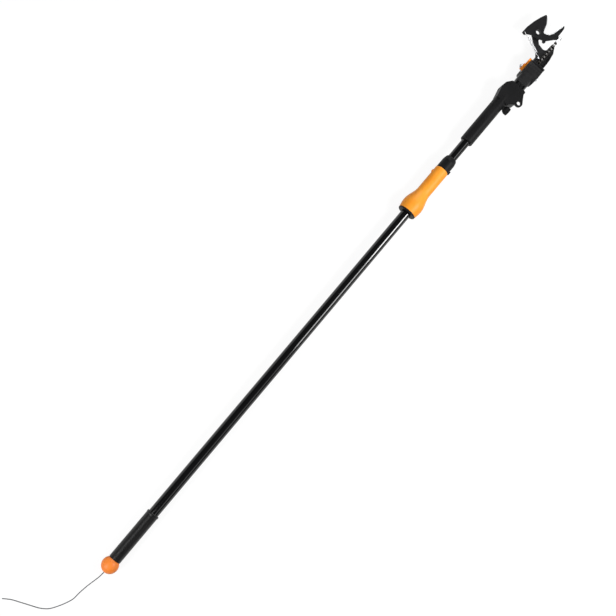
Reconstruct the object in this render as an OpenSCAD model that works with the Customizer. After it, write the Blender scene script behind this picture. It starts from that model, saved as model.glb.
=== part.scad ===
// Tree pruner pole: telescopic pole with a pull handle, a swivel drum and a hooked pulling cutter.
// Built along a pole axis (x), with y along the drum's axis, then laid on the floor on its ball and its drum.

/* [Pole] */
// Diameter of the pull ball
ball_d = 54; // [44:1:66]
// Length of the ball from its foot to the flat that meets the grip
ball_len = 47; // [40:1:52]
// Hole through the ball for the cord
ball_hole_d = 4.4; // [3.6:0.1:8]
// Cord diameter
cord_d = 3; // [2:0.1:3.6]
// Grip sleeve diameter
grip_d = 40; // [38:0.5:50]
// Grip sleeve length
grip_len = 177; // [120:1:260]
// Height of the lip at the grip's upper end
grip_lip = 1; // [0.4:0.1:3]
// Length of the lip at the grip's upper end
grip_lip_len = 6; // [3:0.5:12]
// Lower tube outside diameter
tube_d = 34; // [32:0.5:37]
// Lower tube wall
tube_wall = 1.2; // [0.9:0.1:1.6]
// Lower tube length
tube_len = 1622; // [1400:1:1800]
// Upper tube wall
upper_wall = 1.2; // [0.9:0.1:1.6]
// Depth of the flat along the upper tube that carries the strap
flat_depth = 2.5; // [2.4:0.1:3]
// Upper tube length
upper_len = 1605; // [1500:1:1700]
// Length of the upper tube inside the adapter sleeve
upper_seat = 26; // [15:1:60]
// Length of upper tube that shows between collar and sleeve
upper_show = 78; // [40:1:160]
// Radial gap between the two tubes
slide_gap = 0.3; // [0.3:0.05:0.4]

/* [Handle] */
// Pull handle diameter
handle_d = 47; // [44:0.5:56]
// Pull handle length, with its rim
handle_len = 189; // [160:1:240]
// Widest diameter of the flare
flare_d = 71; // [60:0.5:76]
// Flare diameter at its mouth
mouth_d = 63; // [54:0.5:70]
// Distance from the mouth to the widest place
flare_peak = 33; // [20:1:45]
// Length of the whole flare
flare_len = 93; // [70:1:120]
// Thickness of the dark rim at the mouth
rim_len = 4.5; // [3:0.5:8]
// Strap button diameter
button_d = 10; // [7:0.5:14]
// How far the strap button stands out
button_rise = 2.5; // [2.2:0.1:4]
// Depth of the strap button's seat in the handle
button_seat = 4.2; // [3.4:0.1:4.4]
// Length of the strap shoe
shoe_len = 20; // [12:1:30]
// Width of the strap shoe
shoe_w = 9; // [6:0.5:12]
// Lock collar length
collar_len = 50; // [40:1:70]
// Lock collar diameter at the handle
collar_d = 45; // [44.6:0.1:56]
// Lock collar diameter at the upper tube
collar_top_d = 39.5; // [35:0.5:44]
// Length of the lip that closes on the upper tube
collar_lip = 10; // [6:0.5:14]
// Wall of the seat under the collar
seat_wall = 2; // [1.4:0.1:2.4]
// Height of the collar's tab
tab_rise = 3.5; // [2:0.5:6]

/* [Strap] */
// Strap width
strap_w = 10; // [8:0.5:11]
// Strap thickness
strap_t = 1.1; // [0.8:0.05:1.2]
// Strap clip length
clip_len = 30; // [20:1:36]
// Strap clip width
clip_w = 12; // [10.5:0.5:13]

/* [Adapter] */
// Adapter sleeve diameter
sleeve_d = 44; // [40:0.5:50]
// Adapter sleeve length up to its socket
sleeve_len = 196; // [150:1:240]
// Socket length
socket_len = 65; // [50:1:90]
// Socket depth, front to back
socket_w = 42; // [40:0.5:52]
// Wall of the socket round the head tube
socket_wall = 6; // [4:0.5:10]
// Rise of the socket's shoulder over the sleeve
shoulder_rise = 8; // [4:0.5:12]
// Accessory eye hole diameter
eye_hole_d = 14; // [8:0.5:16]
// Accessory eye diameter
eye_d = 26; // [22:0.5:32]
// Accessory eye thickness
eye_t = 8; // [5:0.5:14]
// Clamp knob diameter
knob_d = 28; // [20:0.5:36]
// Clamp knob height
knob_len = 20; // [16:1:34]
// Depth of the knob's grooves
knob_groove = 1.6; // [0.8:0.1:2.5]
// Clamp bolt diameter
clamp_bolt_d = 8; // [6:0.5:10]
// Boss that carries the clamp bolt
clamp_boss_rise = 3; // [2:0.5:6]

/* [Head tube] */
// Head tube height along the drum axis
head_h = 46; // [42:0.5:50]
// Head tube depth
head_w = 34; // [30:0.5:38]
// Head tube wall
head_wall = 2; // [1.5:0.1:3]
// Head tube corner radius
head_r = 14; // [8:0.5:15]
// Length of head tube that shows between socket and drum stub
head_show = 16; // [10:1:60]
// How far the head tube sits below the pole axis
head_drop = 15; // [12:0.5:18]
// Rivet head diameter
rivet_head_d = 8; // [6:0.5:10]

/* [Swivel drum] */
// Drum diameter
drum_d = 74; // [70:0.5:84]
// Drum wall
drum_wall = 3.4; // [2.6:0.1:4.5]
// Drum height without its cap
drum_h = 49.3; // [48:0.1:58]
// Floor of the drum
drum_floor = 5; // [4:0.5:7]
// Cap thickness
cap_t = 5.7; // [4.5:0.1:7]
// Length of the stub from the drum axis
stub_len = 62; // [55:1:75]
// Swivel bolt diameter
bolt_d = 10; // [8:0.5:12]
// Hexagon size of the swivel nut
nut_af = 16; // [14:0.5:18]
// Swivel nut height
nut_h = 8.4; // [6:0.1:10]
// Cam lever hub diameter
lever_hub_d = 25; // [23.5:0.5:30]
// Cam lever reach
lever_len = 38; // [32:0.5:46]
// Cam lever arm thickness
lever_t = 6; // [4:0.5:8]
// Direction of the cam lever from straight ahead
lever_turn = 41; // [20:1:60]
// Guide post diameter
post_d = 8.4; // [6:0.2:10]
// Diameter of the guide that the chain runs over
guide_d = 20.6; // [18:0.1:24]

/* [Cutter] */
// Blade pivot ahead of the drum axis
pivot_u = 122; // [112:1:132]
// Blade pivot to the side of the pole axis
pivot_v = 52; // [46:1:58]
// Blade thickness
blade_t = 4; // [3:0.1:5]
// Jaw thickness
jaw_t = 4.2; // [3:0.1:5]
// Bracket plate thickness
web_t = 4; // [3:0.1:5]
// Running gap between blade and jaw
blade_gap = 0.3; // [0.3:0.05:0.6]
// Hole through the pivot bush
bush_hole_d = 17; // [12:0.5:18]
// Wall of the pivot bush
bush_wall = 2.5; // [1.6:0.1:3]
// Length of the blade's pulling leg, pivot to link pin
leg_len = 78; // [72:0.5:84]
// Turn that closes the cutter
close_turn = 54; // [48:1:58]
// Spring wire diameter
wire_d = 1.6; // [1.2:0.1:1.8]
// Spring coil diameter over the wire
spring_d = 10; // [8:0.5:11]
// Number of spring turns
spring_turns = 24; // [16:1:26]
// Length of the spring's coil
spring_coil = 58; // [56:0.5:64]

/* [Chain] */
// Chain pitch
pitch = 12.7; // [12:0.1:13.4]
// Number of chain pitches that travel with the blade
pitches = 6; // [5:1:6]
// Number of chain pitches that run over the guide to the strap
tail_pitches = 8; // [8:1:9]
// Chain plate width
plate_w = 8.4; // [7:0.1:8.8]
// Chain plate thickness
plate_t = 1.1; // [0.8:0.05:1.3]
// Chain roller diameter
roller_d = 7.2; // [6:0.1:7.8]
// Chain roller width
roller_w = 4.8; // [4:0.1:5.2]
// Chain pin diameter
pin_d = 3.6; // [3:0.1:4]
// End link length between its pins
link_len = 15; // [13:0.1:17]
// Link pin diameter
link_pin_d = 5; // [4:0.1:5.6]

/* [Clearances] */
// Gap between turning curved faces
turn_gap = 0.3; // [0.3:0.05:0.4]
// Fit of shafts that turn in holes
shaft_fit = 0.06; // [0.04:0.01:0.09]
// Fit of pieces pushed together
push_fit = 0.05; // [0.03:0.01:0.08]

/* [Hidden] */
round_fn = 96;
small_fn = 48;
eps = 0.01;

// Places along the pole, from the foot of the ball
ball_r = ball_d / 2;
grip_x = ball_len;
plug_flange = 3;
plug_len = 25;
tube_x = grip_x + plug_flange;
tube_end = tube_x + tube_len;
tube_r = tube_d / 2;
tube_bore_r = tube_r - tube_wall;
upper_r = tube_bore_r - slide_gap;
upper_bore_r = upper_r - upper_wall;
flat_y = upper_r - flat_depth;
collar_over = 22;
collar_x = tube_end - collar_over;
collar_gap = 0.5;
handle_end = collar_x - collar_gap;
handle_x = handle_end - handle_len;
collar_end = collar_x + collar_len;
seat_end = collar_end - collar_lip - 1;
foot_len = 12;
foot_room = 10;
stroke = 2 * leg_len * sin(close_turn / 2);
plug_end = tube_x + plug_len;
strap_x = plug_end + stroke + 9;
foot_least = strap_x + foot_room + foot_len;
// Closed, the upper tube slides in until the wanted length shows, or until its foot comes down to the strap's end
sleeve_x = max(collar_end + upper_show, foot_least + upper_len - upper_seat);
upper_end = sleeve_x + upper_seat;
upper_x = upper_end - upper_len;
socket_x = sleeve_x + sleeve_len;
socket_end = socket_x + socket_len;
stub_x = socket_end + head_show;
drum_x = stub_x + stub_len;
head_x = socket_x + 11;
spigot_len = 26;

// The chain's line, and the drum's axis below it by the chain's guide
chain_drop = leg_len * cos(close_turn / 2) - pivot_v;
chain_y = -chain_drop;
drum_r = drum_d / 2;
drum_z = -(guide_d / 2 + plate_w / 2 + 0.3);
drum_top = cap_bottom();
function cap_bottom() = 4.3;
drum_bottom = drum_top - drum_h;
drum_in_r = drum_r - drum_wall;
rotor_r = drum_in_r - turn_gap;
rotor_t = 3;
rotor_wall = 3.2;
rotor_low = drum_bottom + drum_floor + turn_gap;
rotor_high = drum_top - turn_gap;
bolt_r = bolt_d / 2;
cap_top = drum_top + cap_t;
head_mid = -head_drop;

// The pull: how far the chain travels when the cutter closes
leg_angle = -90 + close_turn / 2;
pivot = [drum_x + pivot_u, pivot_v];
link_at = [leg_len * cos(leg_angle), leg_len * sin(leg_angle)];
link_x = pivot[0] + link_at[0];
block_x = link_x - link_len;
block_len = 8;
chain_x = block_x - block_len;

// Levels of the cutter's plates, the chain's middle at 0
blade_z0 = -blade_t / 2;
jaw_z1 = blade_z0 - blade_gap;
jaw_z0 = jaw_z1 - jaw_t;
web_z1 = jaw_z0;
web_z0 = web_z1 - web_t;
bush_r = bush_hole_d / 2 + bush_wall;

// Strap
strap_gap = 0.15;
tie_len = 6;
tie_w = 8;
tie_reach = 4;
strap_y = -(flat_y + strap_gap + strap_t / 2);
function pin_x(i) = chain_x - pitch * i;
clip_eye_x = pin_x(pitches + tail_pitches);
clip_x = clip_eye_x + 4 - clip_len;
shoe_x = handle_x + 0.74 * handle_len;

// How it lies: on the ball and on the drum
lie_a = drum_x - ball_r;
lie_c = drum_r - ball_r;
lie = asin(lie_c / norm([lie_a, drum_z])) - atan2(drum_z, lie_a);
rise = ball_r - ball_r * sin(lie);

// Cutter outline, from the pivot: back, hook tip, inner edge, throat, leg, rear edge
ear_at = [-36, 35];
ear_hole_r = wire_d / 2 + 0.8;
leg_tip_r = 6.2;
leg_way = unit(link_at);
leg_side = [leg_way[1], -leg_way[0]];
leg_left = link_at + leg_side * leg_tip_r;
leg_right = link_at - leg_side * leg_tip_r;
boss_at = [-12, -35.5];
boss_r = 5.8;
hook_tip = [66, 17];
blade_pts = [[-40, 41, 3], [-12, 40, 30], [18, 34, 60], [43, 26.5, 60], [hook_tip[0], hook_tip[1], 1.2],
    [64, 11, 2], [54, 2.5, 30], [41.5, -5.5, 30], [20, -11.5, 10], [12, -15, 4], [10, -22, 8], [14, -34, 12],
    [leg_right[0], leg_right[1], 1], [leg_left[0], leg_left[1], 1], [20.5, -60, 8], [9, -51, 8], [-5, -40, 3],
    [boss_at[0], boss_at[1], 0.5], [-12.5, -28, 2], [-14.5, -22, 3], [-21, -14, 4], [-23, -4, 8], [-24, 10, 12],
    [-32, 23, 8], [-42, 30, 4]];
jaw_tip = [84, -54];
jaw_pts = [[9, -13, 4], [16, -25, 12], [25, -34.5, 14], [42, -42.5, 20], [60, -45.5, 20], [jaw_tip[0], jaw_tip[1], 1.5],
    [77, -60.5, 6], [58, -62, 14], [38, -62, 14], [20, -57, 12], [2, -40, 12], [-10, -22, 8],
    [-22, -18, 4], [-22, 11, 4], [-4, 14, 4]];
jaw_rivet_at = [[-17, -11], [-17.5, 5]];

// Bracket, in millimetres ahead of the drum axis and to the side of the pole axis
spring_at = [52, -4.5];
guard_end = 84;
slope_end = 104;
plate_end = 131;
guard_t = 3;
window_low = pivot_v - leg_len - leg_tip_r - 1;
window_high = chain_y + 9.5;
web_pts = [[24, rotor_high, 1], [54, rotor_high, 2], [64, rotor_high + 8, 10], [pivot_u - 17, pivot_v + 13, 4],
    [pivot_u - 10, pivot_v - 12, 3], [95, 22, 10], [91, 0, 8], [97, -10, 6], [plate_end - 3, chain_y + 5.5, 3],
    [plate_end, chain_y - 4, 3], [slope_end, window_low - guard_t, 8], [60, window_low - 5, 4], [24, rotor_low, 1]];
bracket_front = 7;

// Cord route after the ball, from its foot: along, across, height over the floor
cord_rest = cord_d / 2 + 0.1;
cord_out = [[-20, 2, 25], [-40, 6, 20], [-60, 10, 13], [-80, 13, 7], [-100, 15, 3], [-120, 17, cord_rest],
    [-142, 26, cord_rest], [-165, 39, cord_rest], [-183, 52, cord_rest], [-193, 64, cord_rest],
    [-202, 80, cord_rest], [-212, 106, cord_rest], [-222, 132, cord_rest], [-232, 157, cord_rest],
    [-246, 180, cord_rest]];
cord_in = [[147, 0], [120, 0], [90, 0], [60, 0], [30, 0], [0, 0]];
cord_steps = 4;

// The frame: middle of the box on the floor
eye_at = [socket_x + 28, head_mid - head_h / 2 - socket_wall - eye_hole_d / 2 - 1];
low_y = eye_at[1] - eye_d / 2;
high_y = pivot_v + back_reach();
function back_reach() = max([for (p = rounded(blade_pts)) p[1]]);
jaw_reach = max([for (p = rounded(jaw_pts)) p[0]]);
mid_x = ((ball_r * cos(lie) - ball_r) + (pivot[0] + jaw_reach) * cos(lie) - jaw_z0 * sin(lie)) / 2;
mid_y = (low_y + high_y) / 2;

function unit(v) = v / norm(v);
function flat2(p) = [p[0], p[1]];
function world(p) = [p[0] * cos(lie) - p[2] * sin(lie) - mid_x, p[1] - mid_y, p[0] * sin(lie) + p[2] * cos(lie) + rise];

// A polygon whose corners carry a radius as their third number
function corner(a, b, c, r, n) =
    let (u = unit(flat2(a) - flat2(b)), v = unit(flat2(c) - flat2(b)))
    let (half = min(acos(max(-1, min(1, u * v))) / 2, 89.5))
    let (bend = norm(u + v) < 0.02 ? [-u[1], u[0]] : unit(u + v))
    let (most = 0.48 * min(norm(flat2(a) - flat2(b)), norm(flat2(c) - flat2(b))))
    let (t = min(r / tan(half), most), rr = t * tan(half))
    let (mid = flat2(b) + bend * rr / sin(half), from = flat2(b) + u * t - mid)
    let (side = cross(-u, v) > 0 ? 1 : -1, sweep = 180 - 2 * half)
    [for (i = [0 : n]) let (g = side * sweep * i / n)
        mid + [from[0] * cos(g) - from[1] * sin(g), from[0] * sin(g) + from[1] * cos(g)]];
function rounded(pts, n = 5) = [for (i = [0 : len(pts) - 1])
    let (a = pts[(i + len(pts) - 1) % len(pts)], b = pts[i], c = pts[(i + 1) % len(pts)])
    for (p = corner(a, b, c, b[2], n)) p];

// Smooth route through points
function blend(a, b, c, d, t) = 0.5 * ((2 * b) + (c - a) * t + (2 * a - 5 * b + 4 * c - d) * t * t
    + (3 * b - a - 3 * c + d) * t * t * t);
function smooth(pts, n) = let (m = len(pts) - 1) concat([for (i = [0 : m - 1]) for (k = [0 : n - 1])
    blend(pts[max(i - 1, 0)], pts[i], pts[i + 1], pts[min(i + 2, m)], k / n)], [pts[m]]);

// A tube of given sides along a route, its rings carried along without twist
function carry(d0, d1, u) = let (w = u - d1 * (u * d1)) w / norm(w);
function way(pts, i) = unit(pts[min(i + 1, len(pts) - 1)] - pts[max(i - 1, 0)]);
function sides_from(pts, u0) = [for (i = 0, u = carry(way(pts, 0), way(pts, 0), u0); i < len(pts);
    i = i + 1, u = i < len(pts) ? carry(way(pts, i - 1), way(pts, i), u) : u) u];
module tube_along(pts, r, sides, u0) {
    us = sides_from(pts, u0);
    rings = [for (i = [0 : len(pts) - 1]) let (w = way(pts, i), u = us[i], v = cross(w, u))
        for (k = [0 : sides - 1]) pts[i] + r * (u * cos(360 * k / sides) + v * sin(360 * k / sides))];
    n = len(pts);
    m = n * sides;
    walls = [for (i = [0 : n - 2]) for (k = [0 : sides - 1])
        let (a = i * sides + k, b = i * sides + (k + 1) % sides)
        each [[a, a + sides, b], [b, a + sides, b + sides]]];
    caps = [for (k = [0 : sides - 1]) each [[m, k, (k + 1) % sides],
        [m + 1, m - sides + (k + 1) % sides, m - sides + k]]];
    polyhedron(concat(rings, [pts[0], pts[n - 1]]), concat(walls, caps));
}

// Shared shapes
module placed() translate([-mid_x, -mid_y, rise]) rotate([0, -lie, 0]) children();
module along() rotate([0, 90, 0]) children();
module turned(pts) along() rotate_extrude($fn = round_fn) polygon(pts);
module rod(x0, x1, r, fn = round_fn) translate([x0, 0, 0]) along() cylinder(h = x1 - x0, r = r, $fn = fn);
module ring(x0, x1, r0, r1) difference() {
    rod(x0, x1, r1);
    rod(x0 - 1, x1 + 1, r0);
}
module at_drum() translate([drum_x, 0, drum_z]) rotate([-90, 0, 0]) children();
module disc(y0, y1, r, fn = round_fn) translate([0, 0, y0]) cylinder(h = y1 - y0, r = r, $fn = fn);
module plate(z0, z1, pts) translate([0, 0, z0]) linear_extrude(height = z1 - z0) polygon(pts);
module upright(x, y, z0, z1, r, fn = small_fn) translate([x, y, z0]) cylinder(h = z1 - z0, r = r, $fn = fn);
module box(a, b) translate(a) cube(b - a);
module d_section(r, cut) difference() {
    circle(r = r, $fn = round_fn);
    translate([-2 * r, -3 * r]) square([4 * r, 3 * r - cut]);
}
module d_bar(x0, x1, r, cut) translate([x0, 0, 0]) along() linear_extrude(height = x1 - x0) d_section(r, cut);
module soft_section(w, h, r) {
    translate([-w / 2 + r, -h / 2]) square([w - 2 * r, h]);
    translate([-w / 2, -h / 2 + r]) square([w, h - 2 * r]);
    for (i = [-1, 1]) for (k = [-1, 1]) translate([i * (w / 2 - r), k * (h / 2 - r)]) circle(r = r, $fn = small_fn);
}
module soft_bar(x0, x1, less) translate([x0, head_mid, 0]) along() linear_extrude(height = x1 - x0)
    soft_section(head_w - 2 * less, head_h - 2 * less, max(head_r - less, 2));
// A wedge about the drum axis from angle a to angle b, measured from straight ahead towards +z
module wedge(a, b, y0, y1, reach) translate([0, 0, y0]) linear_extrude(height = y1 - y0)
    polygon(concat([[0, 0]], [for (i = [0 : 8]) let (g = a + (b - a) * i / 8) [reach * cos(g), -reach * sin(g)]]));

// Bottom end
module pull_ball() color("orange") placed() difference() {
    translate([ball_r, 0, 0]) rotate([0, 90, 0]) sphere(r = ball_r, $fn = round_fn);
    box([ball_len - push_fit, -ball_d, -ball_d], [ball_d + 1, ball_d, ball_d]);
    rod(-1, ball_len + 1, ball_hole_d / 2, small_fn);
}
module cord() color("dimgray") {
    inside = [for (p = cord_in) world([p[0], p[1], 0])];
    outside = [for (p = cord_out) [p[0] - mid_x + ball_r * cos(lie) - ball_r, p[1] - mid_y, p[2]]];
    tube_along(smooth(concat(inside, outside), cord_steps), cord_d / 2, 8, [0, 0, 1]);
}
module end_plug() color("black") placed() difference() {
    union() {
        rod(grip_x, tube_x, tube_r);
        rod(tube_x, plug_end, tube_bore_r - push_fit);
    }
    rod(grip_x - 1, plug_end + 1, ball_hole_d / 2, small_fn);
    turned([[0, plug_end - 14], [ball_hole_d / 2, plug_end - 14], [tube_bore_r - 3, plug_end + eps], [0, plug_end + eps]]);
}
module grip_sleeve() color("black") placed() difference() {
    turned([[0, grip_x], [grip_d / 2 - 1, grip_x], [grip_d / 2, grip_x + 1], [grip_d / 2, grip_x + grip_len - grip_lip_len - 2],
        [grip_d / 2 + grip_lip, grip_x + grip_len - grip_lip_len], [grip_d / 2 + grip_lip, grip_x + grip_len - 1.5],
        [grip_d / 2, grip_x + grip_len], [0, grip_x + grip_len]]);
    rod(grip_x - 1, grip_x + grip_len + 1, tube_r + push_fit);
}
module lower_tube() color("black") placed() difference() {
    rod(tube_x, tube_end, tube_r);
    rod(tube_x - 1, tube_end + 1, tube_bore_r);
    box([shoe_x - shoe_len / 2 - stroke - 2, -tube_d, -shoe_w / 2 - 0.5], [shoe_x + shoe_len / 2 + 2, 0, shoe_w / 2 + 0.5]);
}

// Pull handle
module pull_handle() color("orange") placed() difference() {
    turned(concat([[0, handle_x + rim_len]],
        [for (i = [0 : 5]) [mouth_d / 2 + (flare_d - mouth_d) / 2 * sin(90 * i / 5),
            handle_x + rim_len + (flare_peak - rim_len) * i / 5]],
        [for (i = [1 : 10]) [handle_d / 2 + (flare_d - handle_d) / 2 * (0.5 + 0.5 * cos(180 * i / 10)),
            handle_x + flare_peak + (flare_len - flare_peak) * i / 10]],
        [[handle_d / 2, handle_end - 1.5], [handle_d / 2 - 1.5, handle_end], [0, handle_end]]));
    rod(handle_x - 1, handle_end + 1, tube_r + turn_gap);
    box([shoe_x - shoe_len / 2 - push_fit, -handle_d / 2 + 2.5, -shoe_w / 2 - push_fit],
        [shoe_x + shoe_len / 2 + push_fit, -tube_bore_r, shoe_w / 2 + push_fit]);
    button_at() cylinder(h = button_seat + 5, r = button_d / 2 + shaft_fit, $fn = small_fn);
}
module handle_rim() color("black") placed() difference() {
    turned([[0, handle_x], [mouth_d / 2 - 1.5, handle_x], [mouth_d / 2, handle_x + 1.5], [mouth_d / 2, handle_x + rim_len],
        [0, handle_x + rim_len]]);
    rod(handle_x - 1, handle_end, tube_r + turn_gap);
}
module strap_shoe() color("gray") placed()
    box([shoe_x - shoe_len / 2, -handle_d / 2 + 2.5 + push_fit, -shoe_w / 2],
        [shoe_x + shoe_len / 2, strap_y - strap_t / 2 - strap_gap, shoe_w / 2]);
module button_at() translate([handle_end - 22, handle_d / 2 - button_seat, 0]) rotate([-90, 0, 0]) children();
module strap_button() color("orange") placed() button_at() translate([0, 0, button_rise])
    cylinder(h = button_seat, r = button_d / 2, $fn = small_fn);

// Telescope lock
module lock_seat() color("black") placed() difference() {
    union() {
        rod(collar_x, tube_end + 2, tube_r + seat_wall);
        rod(tube_end, seat_end, tube_r);
    }
    rod(collar_x - 1, tube_end, tube_r + push_fit);
    rod(collar_x - 1, seat_end + 1, upper_r + turn_gap);
}
module lock_collar() color("black") placed() difference() {
    union() {
        turned([[0, collar_x], [collar_d / 2 - 1, collar_x], [collar_d / 2, collar_x + 1], [collar_d / 2, collar_x + 0.7 * collar_len],
            [collar_top_d / 2, collar_end - 2], [collar_top_d / 2 - 1, collar_end], [0, collar_end]]);
        box([collar_x + 2, -collar_d / 2 - tab_rise, -4], [collar_x + 13, -tube_r - seat_wall - 1, 4]);
    }
    rod(collar_x - 1, seat_end + turn_gap, tube_r + seat_wall + turn_gap);
    rod(collar_x - 1, collar_end + 1, upper_r + turn_gap);
}

// Upper tube and strap
module upper_tube() color("black") placed() difference() {
    d_bar(upper_x, upper_end, upper_r, flat_y);
    d_bar(upper_x - 1, upper_end + 1, upper_bore_r, flat_y - upper_wall);
}
module tube_foot() color("black") placed() difference() {
    union() {
        d_bar(upper_x - foot_len, upper_x, upper_r, flat_y);
        d_bar(upper_x, upper_x + foot_len, upper_bore_r - push_fit, flat_y - upper_wall - push_fit);
    }
    rod(upper_x - foot_len - 1, upper_x + foot_len + 1, upper_bore_r - 5);
}
module strap() color("black") placed()
    box([strap_x, strap_y - strap_t / 2, -strap_w / 2], [clip_x - push_fit, strap_y + strap_t / 2, strap_w / 2]);
// Tie at the strap's lower end, where the cord meets it on the pole's axis
module strap_tie() color("gray") placed() difference() {
    box([strap_x - tie_len, strap_y - strap_t / 2, -tie_w / 2], [strap_x - push_fit, tie_reach, tie_w / 2]);
    box([strap_x - tie_len - 1, strap_y + strap_t / 2 + 1, -tie_w], [strap_x - tie_len + 3, -tie_reach, tie_w]);
}
module strap_clip() color("gray") placed() difference() {
    union() {
        box([clip_x, chain_y - 4, -clip_w / 2], [clip_x + 8, strap_y + strap_t / 2 + 1, clip_w / 2]);
        box([clip_x, chain_y - 3, -3], [clip_eye_x, chain_y + 3, 3]);
        translate([clip_eye_x, chain_y - 3, 0]) rotate([-90, 0, 0]) cylinder(h = 6, r = 4, $fn = small_fn);
    }
    translate([clip_eye_x, chain_y - 5, 0]) rotate([-90, 0, 0]) cylinder(h = 10, r = pin_d / 2 + push_fit, $fn = small_fn);
}

// Adapter sleeve with its socket, eye and clamp knob
knob_x = socket_x - 20;
boss_y = -(sleeve_d / 2 + clamp_boss_rise);
module adapter_sleeve() color("black") placed() difference() {
    union() {
        turned([[0, sleeve_x], [sleeve_d / 2 - 2, sleeve_x], [sleeve_d / 2, sleeve_x + 2], [sleeve_d / 2, socket_x + 10], [0, socket_x + 10]]);
        plate(-socket_w / 2, socket_w / 2, rounded([[socket_x - 12, sleeve_d / 2 - 1, 2], [socket_x + 28, sleeve_d / 2 + shoulder_rise, 12],
            [socket_x + 46, sleeve_d / 2 + shoulder_rise - 2, 10], [socket_end, head_mid + head_h / 2 + socket_wall, 3],
            [socket_end, head_mid - head_h / 2 - socket_wall, 4], [socket_x + 8, head_mid - head_h / 2 - socket_wall, 6],
            [socket_x - 12, -sleeve_d / 2 + 1, 2]]));
        upright(eye_at[0], eye_at[1], -eye_t / 2, eye_t / 2, eye_d / 2);
        plate(-eye_t / 2, eye_t / 2, [[eye_at[0] - eye_d / 2, eye_at[1]], [eye_at[0] - eye_d / 2, head_mid - head_h / 2 - 1],
            [socket_end, head_mid - head_h / 2 - 1], [socket_end, head_mid - head_h / 2 - socket_wall], [eye_at[0] + 8, eye_at[1] - eye_d / 2 + 3]]);
        translate([knob_x, boss_y, 0]) rotate([-90, 0, 0]) cylinder(h = -boss_y - upper_r - 1, r = clamp_bolt_d / 2 + 4, $fn = small_fn);
    }
    rod(sleeve_x - 1, socket_end, upper_r + push_fit);
    soft_bar(head_x, socket_end + 1, -push_fit);
    box([clip_x - stroke - 6, chain_y - 6, -clip_w / 2 - 1], [head_x + 1, strap_y + strap_t / 2 + 3, clip_w / 2 + 1]);
    upright(eye_at[0], eye_at[1], -eye_t, eye_t, eye_hole_d / 2);
    translate([knob_x, boss_y - 1, 0]) rotate([-90, 0, 0])
        cylinder(h = sleeve_d / 2 + clamp_boss_rise - upper_r - 1.6, r = clamp_bolt_d / 2 + shaft_fit, $fn = small_fn);
}
module clamp_bolt() color("silver") placed() translate([knob_x, boss_y - knob_len + 5, 0]) rotate([-90, 0, 0])
    cylinder(h = knob_len - 5 + sleeve_d / 2 + clamp_boss_rise - upper_r - 3, r = clamp_bolt_d / 2, $fn = small_fn);
module clamp_knob() color("black") placed() translate([knob_x, boss_y - turn_gap - knob_len, 0]) rotate([-90, 0, 0]) difference() {
    rotate_extrude($fn = round_fn) polygon([[0, 0], [knob_d / 2 - 2, 0], [knob_d / 2, 2], [knob_d / 2, knob_len - 8], [knob_d / 2 - 4, knob_len], [0, knob_len]]);
    for (i = [0 : 11]) rotate([0, 0, 30 * i]) translate([knob_d / 2 + 0.9, 0, -1]) cylinder(h = knob_len - 6, r = knob_groove + 0.9, $fn = 24);
    translate([0, 0, 5]) cylinder(h = knob_len, r = clamp_bolt_d / 2 + push_fit, $fn = small_fn);
}

// Head tube
rivet_x = stub_x - head_show / 2;
module head_tube() color("black") placed() difference() {
    soft_bar(head_x, stub_x, 0);
    soft_bar(head_x - 1, stub_x + 1, head_wall);
    rivets_at() cylinder(h = 40, r = rivet_head_d / 4 + push_fit, center = true, $fn = small_fn);
}
module rivets_at() for (s = [-1, 1]) translate([rivet_x, head_mid + s * head_h / 2, 0]) rotate([-90 * s, 0, 0]) children();
module tube_rivets() color("black") placed() rivets_at() union() {
    cylinder(h = 1.4, r1 = rivet_head_d / 2, r2 = rivet_head_d / 2 - 1, $fn = small_fn);
    translate([0, 0, -head_wall - 3]) cylinder(h = head_wall + 3.5, r = rivet_head_d / 4, $fn = small_fn);
}

// Swivel drum, fixed half
screw_at = [-23, 9];
module swivel_base() color("black") placed() difference() {
    union() {
        at_drum() difference() {
            union() {
                rotate_extrude($fn = round_fn) polygon([[0, drum_bottom], [drum_r - 2, drum_bottom], [drum_r, drum_bottom + 2], [drum_r, drum_bottom + drum_floor], [0, drum_bottom + drum_floor]]);
                difference() {
                    disc(drum_bottom + 1, drum_top, drum_r);
                    disc(drum_bottom, drum_top + 1, drum_in_r);
                    wedge(-140, 52, drum_bottom + drum_floor, drum_top + 1, 2 * drum_r);
                }
            }
        }
        difference() {
            soft_bar(stub_x, drum_x - drum_r * 0.5, 0);
            at_drum() disc(drum_bottom - 20, drum_top + 20, drum_in_r);
        }
        soft_bar(stub_x - spigot_len, stub_x + 1, head_wall + push_fit);
    }
    at_drum() disc(drum_bottom - 1, drum_top, bolt_r + push_fit);
    at_drum() disc(drum_top, cap_top + 20, drum_r + 1);
    box([stub_x - spigot_len - 1, window_low - 0.5, -7.5], [drum_x - 15, strap_y + 6, 7.5]);
    rivets_at() cylinder(h = 40, r = rivet_head_d / 4 + push_fit, center = true, $fn = small_fn);
    post_at() disc(drum_bottom - 2, drum_top + 1, post_d / 2 + push_fit, small_fn);
}
module post_at() at_drum() rotate([0, 0, -52]) translate([drum_in_r + post_d / 2, post_d / 2 + push_fit, 0]) children();
module guide_post() color("black") placed() post_at() difference() {
    disc(drum_bottom - 1, drum_top - push_fit, post_d / 2, small_fn);
    disc(drum_bottom - 2, drum_bottom + 3, 1.5, 24);
}
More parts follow.
